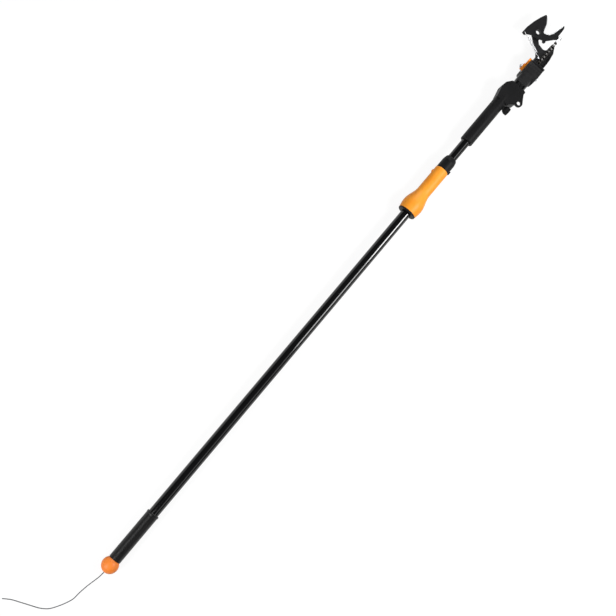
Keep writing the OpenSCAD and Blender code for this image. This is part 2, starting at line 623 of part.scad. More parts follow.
module swivel_cap() color("black") placed() at_drum() difference() {
    union() {
        rotate_extrude($fn = round_fn) polygon([[0, drum_top], [drum_r, drum_top], [drum_r, cap_top - 2], [drum_r - 2, cap_top], [0, cap_top]]);
        translate([screw_at[0], screw_at[1], drum_top]) cylinder(h = cap_t + 1.5, r = 8, $fn = small_fn);
    }
    disc(drum_top - 1, cap_top + 1, bolt_r + push_fit);
    translate([screw_at[0], screw_at[1], drum_top + 2.5]) cylinder(h = cap_t + 5, r = 6.2, $fn = small_fn);
    translate([screw_at[0], screw_at[1], drum_top - 1]) cylinder(h = cap_t, r = 2.6, $fn = small_fn);
    difference() {
        disc(cap_top - 0.5, cap_top + 1, 29.4);
        disc(cap_top - 1, cap_top + 2, 28.4);
        wedge(130, 345, cap_top - 2, cap_top + 3, 60);
        wedge(345, 428, cap_top - 2, cap_top + 3, 60);
    }
}
module cap_screw() color("black") placed() at_drum() translate([screw_at[0], screw_at[1], 0]) difference() {
    union() {
        disc(drum_top + 2.5, cap_top + 0.8, 6, small_fn);
        disc(drum_top, drum_top + 3, 2.5, small_fn);
    }
    disc(cap_top - 2.2, cap_top + 2, 3.4, 6);
}
module swivel_bolt() color("silver") placed() at_drum() union() {
    disc(drum_bottom - 1.5 - 5, drum_bottom - 1.5, 9.2, 6);
    disc(drum_bottom - 2, nut_y + nut_h + 2.5, bolt_r);
}
module swivel_washer() color("silver") placed() at_drum() difference() {
    disc(drum_bottom - 1.5, drum_bottom, bolt_d);
    disc(drum_bottom - 3, drum_bottom + 1, bolt_r + push_fit);
}
lever_low = cap_top + turn_gap;
hub_seat = lever_low + 5;
nut_y = hub_seat + turn_gap;
module cam_lever() color("orange") placed() at_drum() rotate([0, 0, -lever_turn]) difference() {
    union() {
        disc(lever_low, hub_seat + 4, lever_hub_d / 2);
        translate([0, 0, lever_low]) linear_extrude(height = lever_t) polygon(rounded([[0, -lever_hub_d / 2 + 0.5, 0.1], [9, -lever_hub_d / 2 + 1.5, 6],
            [17, -6.5, 8], [lever_len - 12, -9.5, 8], [lever_len - 1, -8, 6], [lever_len, 6, 4], [lever_len - 6, 8.5, 4], [17, 6.5, 10], [9, lever_hub_d / 2 - 1.5, 6], [0, lever_hub_d / 2 - 0.5, 0.1]]));
    }
    disc(lever_low - 1, hub_seat + 1, bolt_r + shaft_fit);
    disc(hub_seat, hub_seat + 10, nut_af / 2 / cos(30) + turn_gap);
}
module swivel_nut() color("silver") placed() at_drum() difference() {
    disc(nut_y, nut_y + nut_h, nut_af / 2 / cos(30), 6);
    disc(nut_y - 1, nut_y + nut_h + 1, bolt_r + push_fit);
}
module chain_guide() color("gray") placed() at_drum() difference() {
    disc(chain_y - 6, chain_y + 6, guide_d / 2);
    disc(chain_y - 7, chain_y + 7, bolt_r + push_fit);
}

// Swivelling head: drum half, channel and plate in one casting
module head_bracket() color("black") placed() difference() {
    union() {
        at_drum() disc(rotor_low, rotor_low + rotor_t, rotor_r);
        at_drum() disc(rotor_high - rotor_t, rotor_high, rotor_r);
        at_drum() difference() {
            disc(rotor_low, rotor_high, rotor_r);
            disc(rotor_low - 1, rotor_high + 1, rotor_r - rotor_wall);
            wedge(40, 205, rotor_low - 1, rotor_high + 1, 2 * drum_r);
            wedge(-155, -62, chain_y - 7, chain_y + 7, 2 * drum_r);
        }
        translate([drum_x, 0, 0]) plate(web_z0, web_z1, rounded(web_pts));
        upright(pivot[0], pivot[1], web_z0, web_z1, bush_r + 4.5);
        box([drum_x + 20, rotor_high - rotor_t, web_z0], [drum_x + 48, rotor_high, bracket_front]);
        translate([drum_x, 0, 0]) plate(web_z0, bracket_front, [[20, rotor_low], [56, rotor_low], [74, window_low - guard_t - 2],
            [guard_end, window_low - guard_t], [guard_end, window_low], [72, window_low - 2], [54, rotor_low + rotor_t], [20, rotor_low + rotor_t]]);
        translate([drum_x, window_low, 0]) rotate([90, 0, 0]) linear_extrude(height = guard_t) polygon([[guard_end - 1, web_z0],
            [slope_end, web_z0], [slope_end, web_z1], [guard_end, bracket_front], [guard_end - 1, bracket_front]]);
    }
    at_drum() disc(rotor_low - 1, rotor_high + 1, bolt_r + shaft_fit);
    at_drum() disc(rotor_low + rotor_t, rotor_high - rotor_t, rotor_r - rotor_wall);
    box([drum_x - 5, window_low, web_z1 - 0.2], [drum_x + 44, window_high, bracket_front + 20]);
    upright(pivot[0], pivot[1], web_z0 - 1, web_z1 + 1, bush_r + push_fit);
    for (p = jaw_rivet_at) upright(pivot[0] + p[0], pivot[1] + p[1], web_z0 - 1, web_z1 + 1, 2.5 + push_fit);
    upright(drum_x + spring_at[0], spring_at[1], web_z0 - 1, web_z1 + 1, 2 + push_fit);
}
module spring_post() color("silver") placed() union() {
    upright(drum_x + spring_at[0], spring_at[1], web_z0, web_z1 + 0.2, 2);
    upright(drum_x + spring_at[0], spring_at[1], web_z1, spring_z - 5, 3.2);
}
module counter_jaw() color("silver") placed() translate([pivot[0], pivot[1], 0]) difference() {
    union() {
        plate(jaw_z0, jaw_z1, rounded(jaw_pts));
        upright(0, 0, jaw_z0, jaw_z1, bush_r + 4);
    }
    upright(0, 0, jaw_z0 - 1, jaw_z1 + 1, bush_r + push_fit);
    for (p = jaw_rivet_at) upright(p[0], p[1], jaw_z0 - 1, jaw_z1 + 1, 2.5 + push_fit);
}
module jaw_rivets() color("silver") placed() translate([pivot[0], pivot[1], 0]) for (p = jaw_rivet_at) {
    upright(p[0], p[1], web_z0 - 0.5, jaw_z1, 2.5);
    upright(p[0], p[1], web_z0 - 1.8, web_z0, 4.2);
}
module pivot_bush() color("black") placed() translate([pivot[0], pivot[1], 0]) difference() {
    union() {
        upright(0, 0, web_z0 - 1.6, blade_t / 2 + turn_gap + 0.6, bush_r, round_fn);
        upright(0, 0, blade_t / 2 + turn_gap, blade_t / 2 + turn_gap + 1, bush_r + 2.2, round_fn);
    }
    upright(0, 0, web_z0 - 5, blade_t + 5, bush_hole_d / 2, round_fn);
}
module pivot_ring() color("silver") placed() translate([pivot[0], pivot[1], 0]) difference() {
    upright(0, 0, web_z0 - 1.2, web_z0, bush_r + 2.4);
    upright(0, 0, web_z0 - 3, web_z0 + 1, bush_r + push_fit, round_fn);
}

// Moving blade and its link
module cutting_blade() color("black") placed() translate([pivot[0], pivot[1], 0]) difference() {
    union() {
        plate(blade_z0, -blade_z0, rounded(blade_pts));
        upright(boss_at[0], boss_at[1], blade_z0, -blade_z0, boss_r);
        upright(link_at[0], link_at[1], blade_z0, -blade_z0, leg_tip_r);
    }
    upright(0, 0, blade_z0 - 1, blade_t, bush_r + shaft_fit, round_fn);
    upright(ear_at[0], ear_at[1], blade_z0 - 1, blade_t, ear_hole_r);
    upright(link_at[0], link_at[1], blade_z0 - 1, blade_t, link_pin_d / 2 + shaft_fit);
}
link_z0 = blade_t / 2 + turn_gap;
link_t = 1.3;
module end_link() color("silver") placed() for (s = [0, 1]) mirror([0, 0, s]) difference() {
    union() {
        upright(link_x, chain_y, link_z0, link_z0 + link_t, link_pin_d / 2 + 2);
        upright(block_x, chain_y, link_z0, link_z0 + link_t, link_pin_d / 2 + 2);
        box([block_x, chain_y - link_pin_d / 2 - 1, link_z0], [link_x, chain_y + link_pin_d / 2 + 1, link_z0 + link_t]);
    }
    for (x = [link_x, block_x]) upright(x, chain_y, link_z0 - 1, link_z0 + 5, link_pin_d / 2 + push_fit);
}
module link_pins() color("silver") placed() for (x = [link_x, block_x]) union() {
    upright(x, chain_y, -link_z0 - link_t - 0.7, link_z0 + link_t + 0.7, link_pin_d / 2);
    for (s = [0, 1]) mirror([0, 0, s]) upright(x, chain_y, link_z0 + link_t, link_z0 + link_t + 1, link_pin_d / 2 + 0.9);
}
module chain_block() color("gray") placed() difference() {
    union() {
        box([chain_x, chain_y - 3.6, -link_z0 + 0.3], [block_x, chain_y + 3.6, link_z0 - 0.3]);
        upright(block_x, chain_y, -link_z0 + 0.3, link_z0 - 0.3, 3.6);
        translate([chain_x, chain_y - roller_w / 2, 0]) rotate([-90, 0, 0]) cylinder(h = roller_w, r = roller_d / 2, $fn = small_fn);
    }
    upright(block_x, chain_y, -9, 9, link_pin_d / 2 + push_fit);
    translate([chain_x, chain_y - 9, 0]) rotate([-90, 0, 0]) cylinder(h = 18, r = pin_d / 2 + push_fit, $fn = small_fn);
    for (s = [-1, 1]) box([chain_x - 9, chain_y + s * (roller_w / 2 + 3) - 3, -9], [chain_x + plate_w / 2 + 0.3, chain_y + s * (roller_w / 2 + 3) + 3, 9]);
}

// Chain: plates lie across the drum axis, pins along it
inner_y = roller_w / 2 + 0.1;
outer_y = inner_y + plate_t + 0.1;
module links(first, last) for (i = [first : last]) for (s = [0, 1])
    translate([0, chain_y, 0]) mirror([0, s, 0]) translate([0, i % 2 == 0 ? inner_y : outer_y, 0]) rotate([-90, 0, 0]) difference() {
        union() {
            for (k = [0, 1]) translate([pin_x(i + k), 0, 0]) cylinder(h = plate_t, r = plate_w / 2, $fn = small_fn);
            translate([pin_x(i + 1), -plate_w / 2 + 0.8, 0]) cube([pitch, plate_w - 1.6, plate_t]);
        }
        for (k = [0, 1]) translate([pin_x(i + k), 0, -1]) cylinder(h = plate_t + 2, r = pin_d / 2 + push_fit, $fn = small_fn);
    }
module rollers(first, last) for (i = [first : last]) translate([pin_x(i), chain_y - roller_w / 2, 0]) rotate([-90, 0, 0]) difference() {
    cylinder(h = roller_w, r = roller_d / 2, $fn = small_fn);
    translate([0, 0, -1]) cylinder(h = roller_w + 2, r = pin_d / 2 + push_fit, $fn = small_fn);
}
module pins(first, last) for (i = [first : last]) translate([pin_x(i), chain_y - outer_y - plate_t - 0.4, 0]) rotate([-90, 0, 0])
    cylinder(h = 2 * (outer_y + plate_t + 0.4), r = pin_d / 2, $fn = small_fn);
module chain_plates() color("dimgray") placed() links(0, pitches - 1);
module chain_rollers() color("silver") placed() rollers(1, pitches);
module chain_pins() color("gray") placed() pins(0, pitches);
module chain_tail() color("dimgray") placed() union() {
    links(pitches, pitches + tail_pitches - 1);
    rollers(pitches + 1, pitches + tail_pitches - 1);
    pins(pitches + 1, pitches + tail_pitches);
}

// Return spring: one wire from the post, round the coil, to the blade's ear
spring_z = spring_d / 2 + 4.5;
wire_r = wire_d / 2;
coil_r = spring_d / 2 - wire_r;
spring_a = [drum_x + spring_at[0], spring_at[1], spring_z];
spring_b = [pivot[0] + ear_at[0], pivot[1] + ear_at[1], spring_z];
spring_len = norm(spring_b - spring_a);
spring_dir = (spring_b - spring_a) / spring_len;
spring_side = [spring_dir[1], -spring_dir[0], 0];
coil_start = (spring_len - spring_coil) / 2;
function coil_point(i) = let (g = 45 * i, t = i / (8 * spring_turns))
    spring_a + spring_dir * (coil_start + spring_coil * t) + coil_r * (spring_side * sin(g) - [0, 0, 1] * cos(g));
coil_pts = [for (i = [0 : 8 * spring_turns]) coil_point(i)];
post_end = spring_z - 5 + 0.3;
hook_low = [spring_a - [0, 0, spring_z - post_end], spring_a - [0, 0, spring_z - post_end - 2 * wire_d],
    spring_a + spring_dir * 1.6 - [0, 0, coil_r * 0.3], spring_a + spring_dir * (coil_start * 0.5) - [0, 0, coil_r * 0.6],
    spring_a + spring_dir * (coil_start - 4) - [0, 0, coil_r] - spring_side * 0.8];
ear_end = -blade_t / 2 - 0.5;
hook_high = [spring_b - spring_dir * (coil_start - 4) - [0, 0, coil_r] + spring_side * 0.8, spring_b - spring_dir * (coil_start * 0.5) - [0, 0, coil_r * 0.6],
    spring_b - spring_dir * 1.6 - [0, 0, coil_r * 0.3], spring_b - [0, 0, spring_z - blade_t / 2 - 2.5 * wire_d],
    spring_b - [0, 0, spring_z - blade_t / 2], spring_b - [0, 0, spring_z - ear_end]];
spring_pts = concat(hook_low, coil_pts, hook_high);
curl_gap = min([for (i = [0 : len(coil_pts) - 1]) for (k = [6 : 10]) if (i + k < len(coil_pts)) norm(coil_pts[i] - coil_pts[i + k])]) - wire_d;
echo(spring_least_self_gap = curl_gap);
module return_spring() color("silver") placed() tube_along(spring_pts, wire_r, 6, [1, 0, 0]);

// What the record states, in metres in the part's frame
echo(axis_x = [cos(lie), 0, sin(lie)], axis_z = [-sin(lie), 0, cos(lie)], stroke = stroke, lie = lie);
echo(pivot_at = world([pivot[0], pivot[1], 0]), drum_at = world([drum_x, 0, drum_z]), link_at = world([link_x, chain_y, 0]));
echo(knob_at = world([knob_x, boss_y, 0]), eye_at = world([eye_at[0], eye_at[1], 0]), button_at = world([handle_end - 22, handle_d / 2, 0]));
echo(collar_at = world([collar_x, 0, 0]), grip_at = world([grip_x + grip_len / 2, 0, 0]), clip_at = world([clip_x, strap_y, 0]));
echo(bush_z = [web_z0 - 1.6, blade_t / 2 + turn_gap + 1], drum_bottom = drum_bottom, chain_y = chain_y, foot_at = upper_x, collar_x = collar_x);

pull_ball();
cord();
end_plug();
grip_sleeve();
lower_tube();
pull_handle();
handle_rim();
strap_shoe();
strap_button();
lock_seat();
lock_collar();
upper_tube();
tube_foot();
strap();
strap_tie();
strap_clip();
adapter_sleeve();
clamp_bolt();
clamp_knob();
head_tube();
tube_rivets();
swivel_base();
guide_post();
swivel_cap();
cap_screw();
swivel_bolt();
swivel_washer();
cam_lever();
swivel_nut();
chain_guide();
head_bracket();
spring_post();
counter_jaw();
jaw_rivets();
pivot_bush();
pivot_ring();
cutting_blade();
link_pins();
end_link();
chain_block();
chain_plates();
chain_rollers();
chain_pins();
chain_tail();
return_spring();
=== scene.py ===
# Looks of the tree pruner pole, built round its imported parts.
# Sizes are in millimetres along the pole until world() turns them into metres of the shared frame.
import math

import bmesh
import bpy
from mathutils import Matrix, Vector

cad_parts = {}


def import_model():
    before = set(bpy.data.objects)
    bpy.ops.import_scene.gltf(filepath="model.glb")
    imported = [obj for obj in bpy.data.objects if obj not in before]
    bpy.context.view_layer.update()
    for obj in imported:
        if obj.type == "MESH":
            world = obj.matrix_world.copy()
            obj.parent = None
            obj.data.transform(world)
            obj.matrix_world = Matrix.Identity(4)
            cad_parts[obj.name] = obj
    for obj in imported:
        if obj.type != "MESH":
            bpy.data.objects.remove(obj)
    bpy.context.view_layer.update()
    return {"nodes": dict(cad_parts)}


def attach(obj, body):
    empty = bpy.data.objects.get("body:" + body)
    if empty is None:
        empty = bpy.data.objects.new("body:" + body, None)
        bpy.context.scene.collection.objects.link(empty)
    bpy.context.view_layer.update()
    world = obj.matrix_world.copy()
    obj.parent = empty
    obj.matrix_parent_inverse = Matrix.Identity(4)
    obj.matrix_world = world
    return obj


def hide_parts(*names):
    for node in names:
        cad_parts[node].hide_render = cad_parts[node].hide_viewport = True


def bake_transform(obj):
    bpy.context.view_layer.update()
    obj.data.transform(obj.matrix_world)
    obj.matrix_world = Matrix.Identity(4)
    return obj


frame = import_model()
nodes = frame["nodes"]

# The pole's own frame: x from the foot of the ball, y along the drum's axis, z up
MM_IN_M = 1000
LIE = math.radians(0.679861)
FOOT_BACK = 1160.788
AXIS_SIDE = 13.9537
AXIS_RISE = 26.6797
DRUM_X = 2117.0
DRUM_Z = -14.8
PIVOT = (2239.0, 52.0)


def world(x, y, z):
    """A point of the pole's frame, in metres of the shared frame."""
    along = x * math.cos(LIE) - z * math.sin(LIE) - FOOT_BACK
    high = x * math.sin(LIE) + z * math.cos(LIE) + AXIS_RISE
    return Vector((along, y - AXIS_SIDE, high)) / MM_IN_M


def linked(name, data):
    """A new object with this data, in the scene."""
    made = bpy.data.objects.new(name, data)
    bpy.context.scene.collection.objects.link(made)
    return made


# Camera: above the pole's foot, looking down on the floor it lies on, in metres
IMAGE_PX = 616
LENS_PX = 1000
VIEW_DEPTH = 40
CAMERA_AT = (-0.70634, 0.3022, 3.1408)
CAMERA_RIGHT = (0.6345, -0.75162, 0.18021)
CAMERA_IN = (0.17666, -0.08596, -0.98051)
camera_data = bpy.data.cameras.new("camera")
camera_data.sensor_fit = "HORIZONTAL"
camera_data.angle = 2 * math.atan(IMAGE_PX / 2 / LENS_PX)
camera_data.clip_end = VIEW_DEPTH
view_in = Vector(CAMERA_IN).normalized()
view_up = Vector(CAMERA_RIGHT).normalized().cross(view_in).normalized()
view_right = view_in.cross(view_up).normalized()
turn = Matrix((view_right, view_up, -view_in)).transposed().to_4x4()
camera = linked("camera", camera_data)
camera.matrix_world = Matrix.Translation(CAMERA_AT) @ turn
bpy.context.scene.camera = camera
bpy.context.scene.view_settings.view_transform = "Standard"


# Materials
def linear(hex_text):
    """An sRGB hex value as linear red, green, blue and alpha."""
    parts = [int(hex_text[i:i + 2], 16) / 255 for i in (1, 3, 5)]
    return [c / 12.92 if c <= 0.04045 else ((c + 0.055) / 1.055) ** 2.4 for c in parts] + [1.0]


def add(tree, kind, settings=None, inputs=None):
    """Adds one node: settings are its attributes, inputs are values or other nodes' sockets."""
    made = tree.nodes.new(kind)
    for name, value in (settings or {}).items():
        setattr(made, name, value)
    for name, value in (inputs or {}).items():
        if isinstance(value, bpy.types.NodeSocket):
            tree.links.new(value, made.inputs[name])
        else:
            made.inputs[name].default_value = value
    return made


def started(name, sockets):
    """A new material with its shader; sockets holds what is the same all over the surface."""
    made = bpy.data.materials.new(name)
    made.use_nodes = True
    tree = made.node_tree
    tree.nodes.clear()
    shader = add(tree, "ShaderNodeBsdfPrincipled", None, sockets)
    add(tree, "ShaderNodeOutputMaterial", None, {"Surface": shader.outputs[0]})
    return made, tree, shader


def scale_of(size_mm):
    """Texture scale whose features are about this many millimetres wide."""
    return MM_IN_M / size_mm


# Where the slow tone turns from the dark shade to the light one, and from smooth to rough
SHADE_STOPS = (0.3, 0.7)
GLOSS_STOPS = (0.25, 0.75)
# Rubbing starts where the softened normal leaves the flat one by about 11 degrees and is full at 37
RUB_STOPS = (0.98, 0.8)
RUB_PATCH = 6
PATCH_STOPS = (0.42, 0.62)
PATCH_LEAST = 0.1


def rub_edges(tree, shader, soft, unworn, worn):
    """Turns the colour to the worn one on edges, in patches, as handling does."""
    flat = add(tree, "ShaderNodeNewGeometry")
    same = add(tree, "ShaderNodeVectorMath", {"operation": "DOT_PRODUCT"}, {
        0: soft.outputs[0], 1: flat.outputs["Normal"]})
    near = add(tree, "ShaderNodeMapRange", None, {
        "Value": same.outputs["Value"], "From Min": RUB_STOPS[0], "From Max": RUB_STOPS[1],
        "To Min": 0.0, "To Max": 1.0})
    place = add(tree, "ShaderNodeTexCoord")
    patch = add(tree, "ShaderNodeTexNoise", None, {
        "Vector": place.outputs["Object"], "Scale": scale_of(RUB_PATCH), "Detail": 4.0})
    bare = add(tree, "ShaderNodeMapRange", None, {
        "Value": patch.outputs[0], "From Min": PATCH_STOPS[0], "From Max": PATCH_STOPS[1],
        "To Min": PATCH_LEAST, "To Max": 1.0})
    rubbed = add(tree, "ShaderNodeMath", {"operation": "MULTIPLY"}, {
        0: near.outputs[0], 1: bare.outputs[0]})
    mixed = add(tree, "ShaderNodeMix", {"data_type": "RGBA"}, {
        0: rubbed.outputs[0], 6: unworn.outputs[0], 7: linear(worn)})
    tree.links.new(mixed.outputs[2], shader.inputs["Base Color"])


def dress(tree, shader, shades, grain_mm, grain_depth, tone_mm, rough, stretch=(1, 1, 1), edge_mm=0.0,
          worn=None):
    """Gives a shader its skin and returns its bump node.

    The skin is a slow change of tone, a roughness that follows it, fine grain in the bump, and edges
    that are softened and, where worn is a colour, rubbed.
    """
    place = add(tree, "ShaderNodeTexCoord")
    laid = add(tree, "ShaderNodeMapping", None, {
        "Vector": place.outputs["Object"], "Rotation": (0, LIE, 0), "Scale": stretch})
    tone = add(tree, "ShaderNodeTexNoise", None, {
        "Vector": laid.outputs[0], "Scale": scale_of(tone_mm), "Detail": 5.0, "Roughness": 0.6})
    ramp = add(tree, "ShaderNodeValToRGB", None, {"Fac": tone.outputs[0]})
    for stop, at, shade in zip(ramp.color_ramp.elements, SHADE_STOPS, shades):
        stop.position = at
        stop.color = linear(shade)
    tree.links.new(ramp.outputs[0], shader.inputs["Base Color"])
    gloss = add(tree, "ShaderNodeMapRange", None, {
        "Value": tone.outputs[0], "From Min": GLOSS_STOPS[0], "From Max": GLOSS_STOPS[1],
        "To Min": rough[0], "To Max": rough[1]})
    tree.links.new(gloss.outputs[0], shader.inputs["Roughness"])
    grain = add(tree, "ShaderNodeTexNoise", None, {
        "Vector": laid.outputs[0], "Scale": scale_of(grain_mm), "Detail": 3.0})
    bump = add(tree, "ShaderNodeBump", None, {
        "Strength": 0.5, "Distance": grain_depth / MM_IN_M, "Height": grain.outputs[0]})
    tree.links.new(bump.outputs[0], shader.inputs["Normal"])
    if edge_mm:
        soft = add(tree, "ShaderNodeBevel", {"samples": 6}, {"Radius": edge_mm / MM_IN_M})
        tree.links.new(soft.outputs[0], bump.inputs["Normal"])
        if worn:
            rub_edges(tree, shader, soft, ramp, worn)
    return bump


def finished(name, sockets, **skin):
    """A material with one kind of skin all over."""
    made, tree, shader = started(name, sockets)
    dress(tree, shader, **skin)
    return made


# Moulded polyamide: satin from a spark-eroded mould, so highlights are broad and soft.
# The real grain is 0.2 mm and would not show; it is drawn at 1.2 mm.
def moulded_polyamide(name, shades, worn, rough, shine):
    return finished(name, {"IOR": 1.53, "Specular IOR Level": shine}, shades=shades, grain_mm=1.2,
                    grain_depth=0.06, tone_mm=45, rough=rough, edge_mm=0.9, worn=worn)


orange_handle = moulded_polyamide("moulded_polyamide_orange_handle", ("#F79520", "#FCA534"), "#FFB452",
                                  (0.42, 0.52), 0.3)
# The ball is the handle's plastic with its orange painted darker: painted shade of the light falling off
# towards the foot.
orange_ball_painted_shade = moulded_polyamide("moulded_polyamide_orange_ball", ("#F78430", "#FC903C"), "#FFA55C",
                                (0.4, 0.5), 0.3)
orange_lever = moulded_polyamide("moulded_polyamide_orange_lever", ("#F98A08", "#FE9618"), "#FFA83C",
                                 (0.38, 0.48), 0.3)
# Glass-filled polyamide, black: duller, with slightly paler edges where fibres reach the skin.
black_moulding = moulded_polyamide("moulded_glass_filled_polyamide_black", ("#0B0B0C", "#131314"),
                                   "#232324", (0.42, 0.54), 0.15)

# Drawn aluminium tube, black anodised and sealed: a hard gloss with faint lines along the tube.
# Real draw lines are 0.1 mm wide; they are drawn 1.5 mm wide and 100 times as long.
black_tube = finished("drawn_aluminium_black_anodised", {"IOR": 1.5, "Specular IOR Level": 0.5},
                      shades=("#040405", "#09090A"), grain_mm=1.5, grain_depth=0.004, tone_mm=4,
                      rough=(0.06, 0.1), stretch=(0.01, 1, 1))

# Thermoplastic rubber sleeve: a satin skin whose fine stipple spreads and greys its highlight.
# The stipple is 0.5 mm on the real sleeve and drawn at 1.6 mm.
grip_rubber = finished("moulded_thermoplastic_rubber_black", {
    "IOR": 1.5, "Specular IOR Level": 0.38, "Sheen Weight": 0.02, "Sheen Roughness": 0.5},
    shades=("#050505", "#0A0A0A"), grain_mm=1.6, grain_depth=0.1, tone_mm=30,
    rough=(0.35, 0.43), edge_mm=0.8)

# Fluoropolymer-coated hardened steel: an even black skin, matt, with a slight orange peel of 1.5 mm.
coated_steel = finished("hardened_steel_fluoropolymer_coated", {"IOR": 1.4, "Specular IOR Level": 0.26},
                        shades=("#0F0F10", "#18181A"), grain_mm=1.5, grain_depth=0.05, tone_mm=18,
                        rough=(0.4, 0.54), edge_mm=0.5, worn="#5A5A5B")

# Die-cast aluminium, black powder coat: orange peel of 2 mm breaks up the highlights.
cast_alloy = finished("die_cast_aluminium_black_powder_coated", {"IOR": 1.5, "Specular IOR Level": 0.28},
                      shades=("#0F0F10", "#181819"), grain_mm=2.0, grain_depth=0.1, tone_mm=25,
                      rough=(0.36, 0.5), edge_mm=0.9, worn="#3A3A3B")


def bare_metal(name, shades, grain_mm, tone_mm, rough, stretch=(1, 1, 1)):
    """A metal with shallow marks and edges broken by 0.3 mm."""
    return finished(name, {"Metallic": 1.0}, shades=shades, grain_mm=grain_mm, grain_depth=0.01,
                    tone_mm=tone_mm, rough=rough, stretch=stretch, edge_mm=0.3)


# Zinc-plated steel, blue passivated: bright and slightly cold, cloudy over a few millimetres.
zinc_steel = bare_metal("zinc_plated_steel_passivated", ("#D0D2D6", "#ECEDEF"), 0.8, 5, (0.2, 0.34))
# Ground tool steel: bright, with wheel marks of 0.6 mm across the edge.
ground_steel = bare_metal("ground_tool_steel", ("#B9BABC", "#DCDDDE"), 0.6, 0.9, (0.22, 0.4), (1, 0.05, 1))
# Oiled chain steel: brown-black film that leaves the rubbed places brighter.
chain_steel = bare_metal("oiled_chain_steel", ("#3A3835", "#5A5753"), 0.8, 4, (0.3, 0.5))
# Spring wire, bright nickel: the palest metal on the pole, with die lines along it too fine to draw.
spring_wire = bare_metal("drawn_spring_steel_nickel_plated", ("#E6E7E9", "#FAFAFB"), 0.8, 4, (0.3, 0.42))
# Blade edge: ground, then coated and rubbed, so it keeps a dull sheen between steel and coating.
rubbed_edge = bare_metal("ground_edge_coating_rubbed", ("#4A4A4C", "#7C7C7E"), 0.6, 1.2, (0.3, 0.45))
# Roller steel: polished by use, so it is paler and smoother than the rest of the chain.
roller_steel = bare_metal("rubbed_roller_steel", ("#9C9B99", "#C8C8C7"), 0.6, 3, (0.2, 0.36))


# Woven polyamide tape: threads 1.2 mm apart both ways, with a low sheen.
# A wave texture has 10 / pi bands to the unit at scale 1.
def woven_tape(thread_mm):
    made, tree, shader = started("woven_polyamide_tape_black", {
        "IOR": 1.5, "Specular IOR Level": 0.3, "Sheen Weight": 0.1, "Sheen Roughness": 0.4})
    bump = dress(tree, shader, shades=("#161617", "#202022"), grain_mm=0.6, grain_depth=0.05, tone_mm=12,
                 rough=(0.6, 0.75))
    place = add(tree, "ShaderNodeTexCoord")
    bands = scale_of(thread_mm) * math.pi / 10
    threads = []
    for across in ("X", "Z"):
        threads.append(add(tree, "ShaderNodeTexWave", {"bands_direction": across}, {
            "Vector": place.outputs["Object"], "Scale": bands, "Distortion": 0.4}))
    weave = add(tree, "ShaderNodeMath", {"operation": "MAXIMUM"}, {
        0: threads[0].outputs["Fac"], 1: threads[1].outputs["Fac"]})
    tree.links.new(weave.outputs[0], bump.inputs["Height"])
    return made


# Braided polyester cord: dull with a soft sheen, its strands crossing at 45 degrees round the cord.
# They are drawn 1.2 mm wide, and their depth is drawn at 0.3 mm.
def braided_cord(shades, depth_mm):
    made, tree, shader = started("braided_polyester_cord_grey", {
        "IOR": 1.5, "Specular IOR Level": 0.3, "Sheen Weight": 0.15, "Sheen Roughness": 0.4,
        "Roughness": 0.7})
    strands = add(tree, "ShaderNodeUVMap", {"uv_map": "along_and_round"})
    split = add(tree, "ShaderNodeSeparateXYZ", None, {0: strands.outputs[0]})
    waves = []
    for lay in ("ADD", "SUBTRACT"):
        slant = add(tree, "ShaderNodeMath", {"operation": lay}, {0: split.outputs[0], 1: split.outputs[1]})
        waves.append(add(tree, "ShaderNodeMath", {"operation": "SINE"}, {0: slant.outputs[0]}))
    braid = add(tree, "ShaderNodeMath", {"operation": "MULTIPLY"}, {
        0: waves[0].outputs[0], 1: waves[1].outputs[0]})
    ramp = add(tree, "ShaderNodeValToRGB", None, {"Fac": braid.outputs[0]})
    for stop, shade in zip(ramp.color_ramp.elements, shades):
        stop.color = linear(shade)
    tree.links.new(ramp.outputs[0], shader.inputs["Base Color"])
    bump = add(tree, "ShaderNodeBump", None, {
        "Strength": 0.6, "Distance": depth_mm / MM_IN_M, "Height": braid.outputs[0]})
    tree.links.new(bump.outputs[0], shader.inputs["Normal"])
    return made


strap_weave = woven_tape(1.2)
cord_braid = braided_cord(("#55565A", "#77787C"), 0.3)

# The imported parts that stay, by finish; the chain's tail lends its finish to the links copied from it
FINISHES = [
    (orange_ball_painted_shade, ["pull_ball"]),
    (orange_handle, ["pull_handle", "strap_button"]),
    (orange_lever, ["cam_lever"]),
    (black_moulding, ["end_plug", "handle_rim", "lock_seat", "lock_collar", "tube_foot", "adapter_sleeve",
                      "clamp_knob", "chain_guide"]),
    (grip_rubber, ["grip_sleeve"]),
    (black_tube, ["lower_tube", "upper_tube", "head_tube"]),
    (strap_weave, ["strap"]),
    (cast_alloy, ["swivel_base", "swivel_cap", "head_bracket"]),
    (coated_steel, ["tube_rivets", "guide_post", "cap_screw", "counter_jaw", "pivot_bush",
                    "cutting_blade"]),
    (zinc_steel, ["strap_shoe", "strap_tie", "strap_clip", "clamp_bolt", "swivel_bolt", "swivel_washer",
                  "spring_post", "pivot_ring", "link_pins", "end_link"]),
    (ground_steel, ["jaw_rivets"]),
    (chain_steel, ["chain_block", "chain_plates", "chain_pins", "chain_tail"]),
    (roller_steel, ["chain_rollers"])]
for finish, names in FINISHES:
    for name in names:
        nodes[name].data.materials.clear()
        nodes[name].data.materials.append(finish)


# Geometry Nodes
def started_tree(name, inputs, output):
    """A new node tree with its named inputs and one output, and the node that gives the inputs."""
    tree = bpy.data.node_groups.new(name, "GeometryNodeTree")
    for label, kind in inputs.items():
        tree.interface.new_socket(label, in_out="INPUT", socket_type=kind)
    tree.interface.new_socket(output, in_out="OUTPUT", socket_type="NodeSocketGeometry")
    return tree, add(tree, "NodeGroupInput")


def ended_tree(tree, shape, finish):
    """Ends a tree: its instances are made real and get their finish."""
    real = add(tree, "GeometryNodeRealizeInstances", None, {0: shape})
    coated = add(tree, "GeometryNodeSetMaterial", None, {0: real.outputs[0], "Material": finish})
    add(tree, "NodeGroupOutput", None, {0: coated.outputs[0]})
    return tree


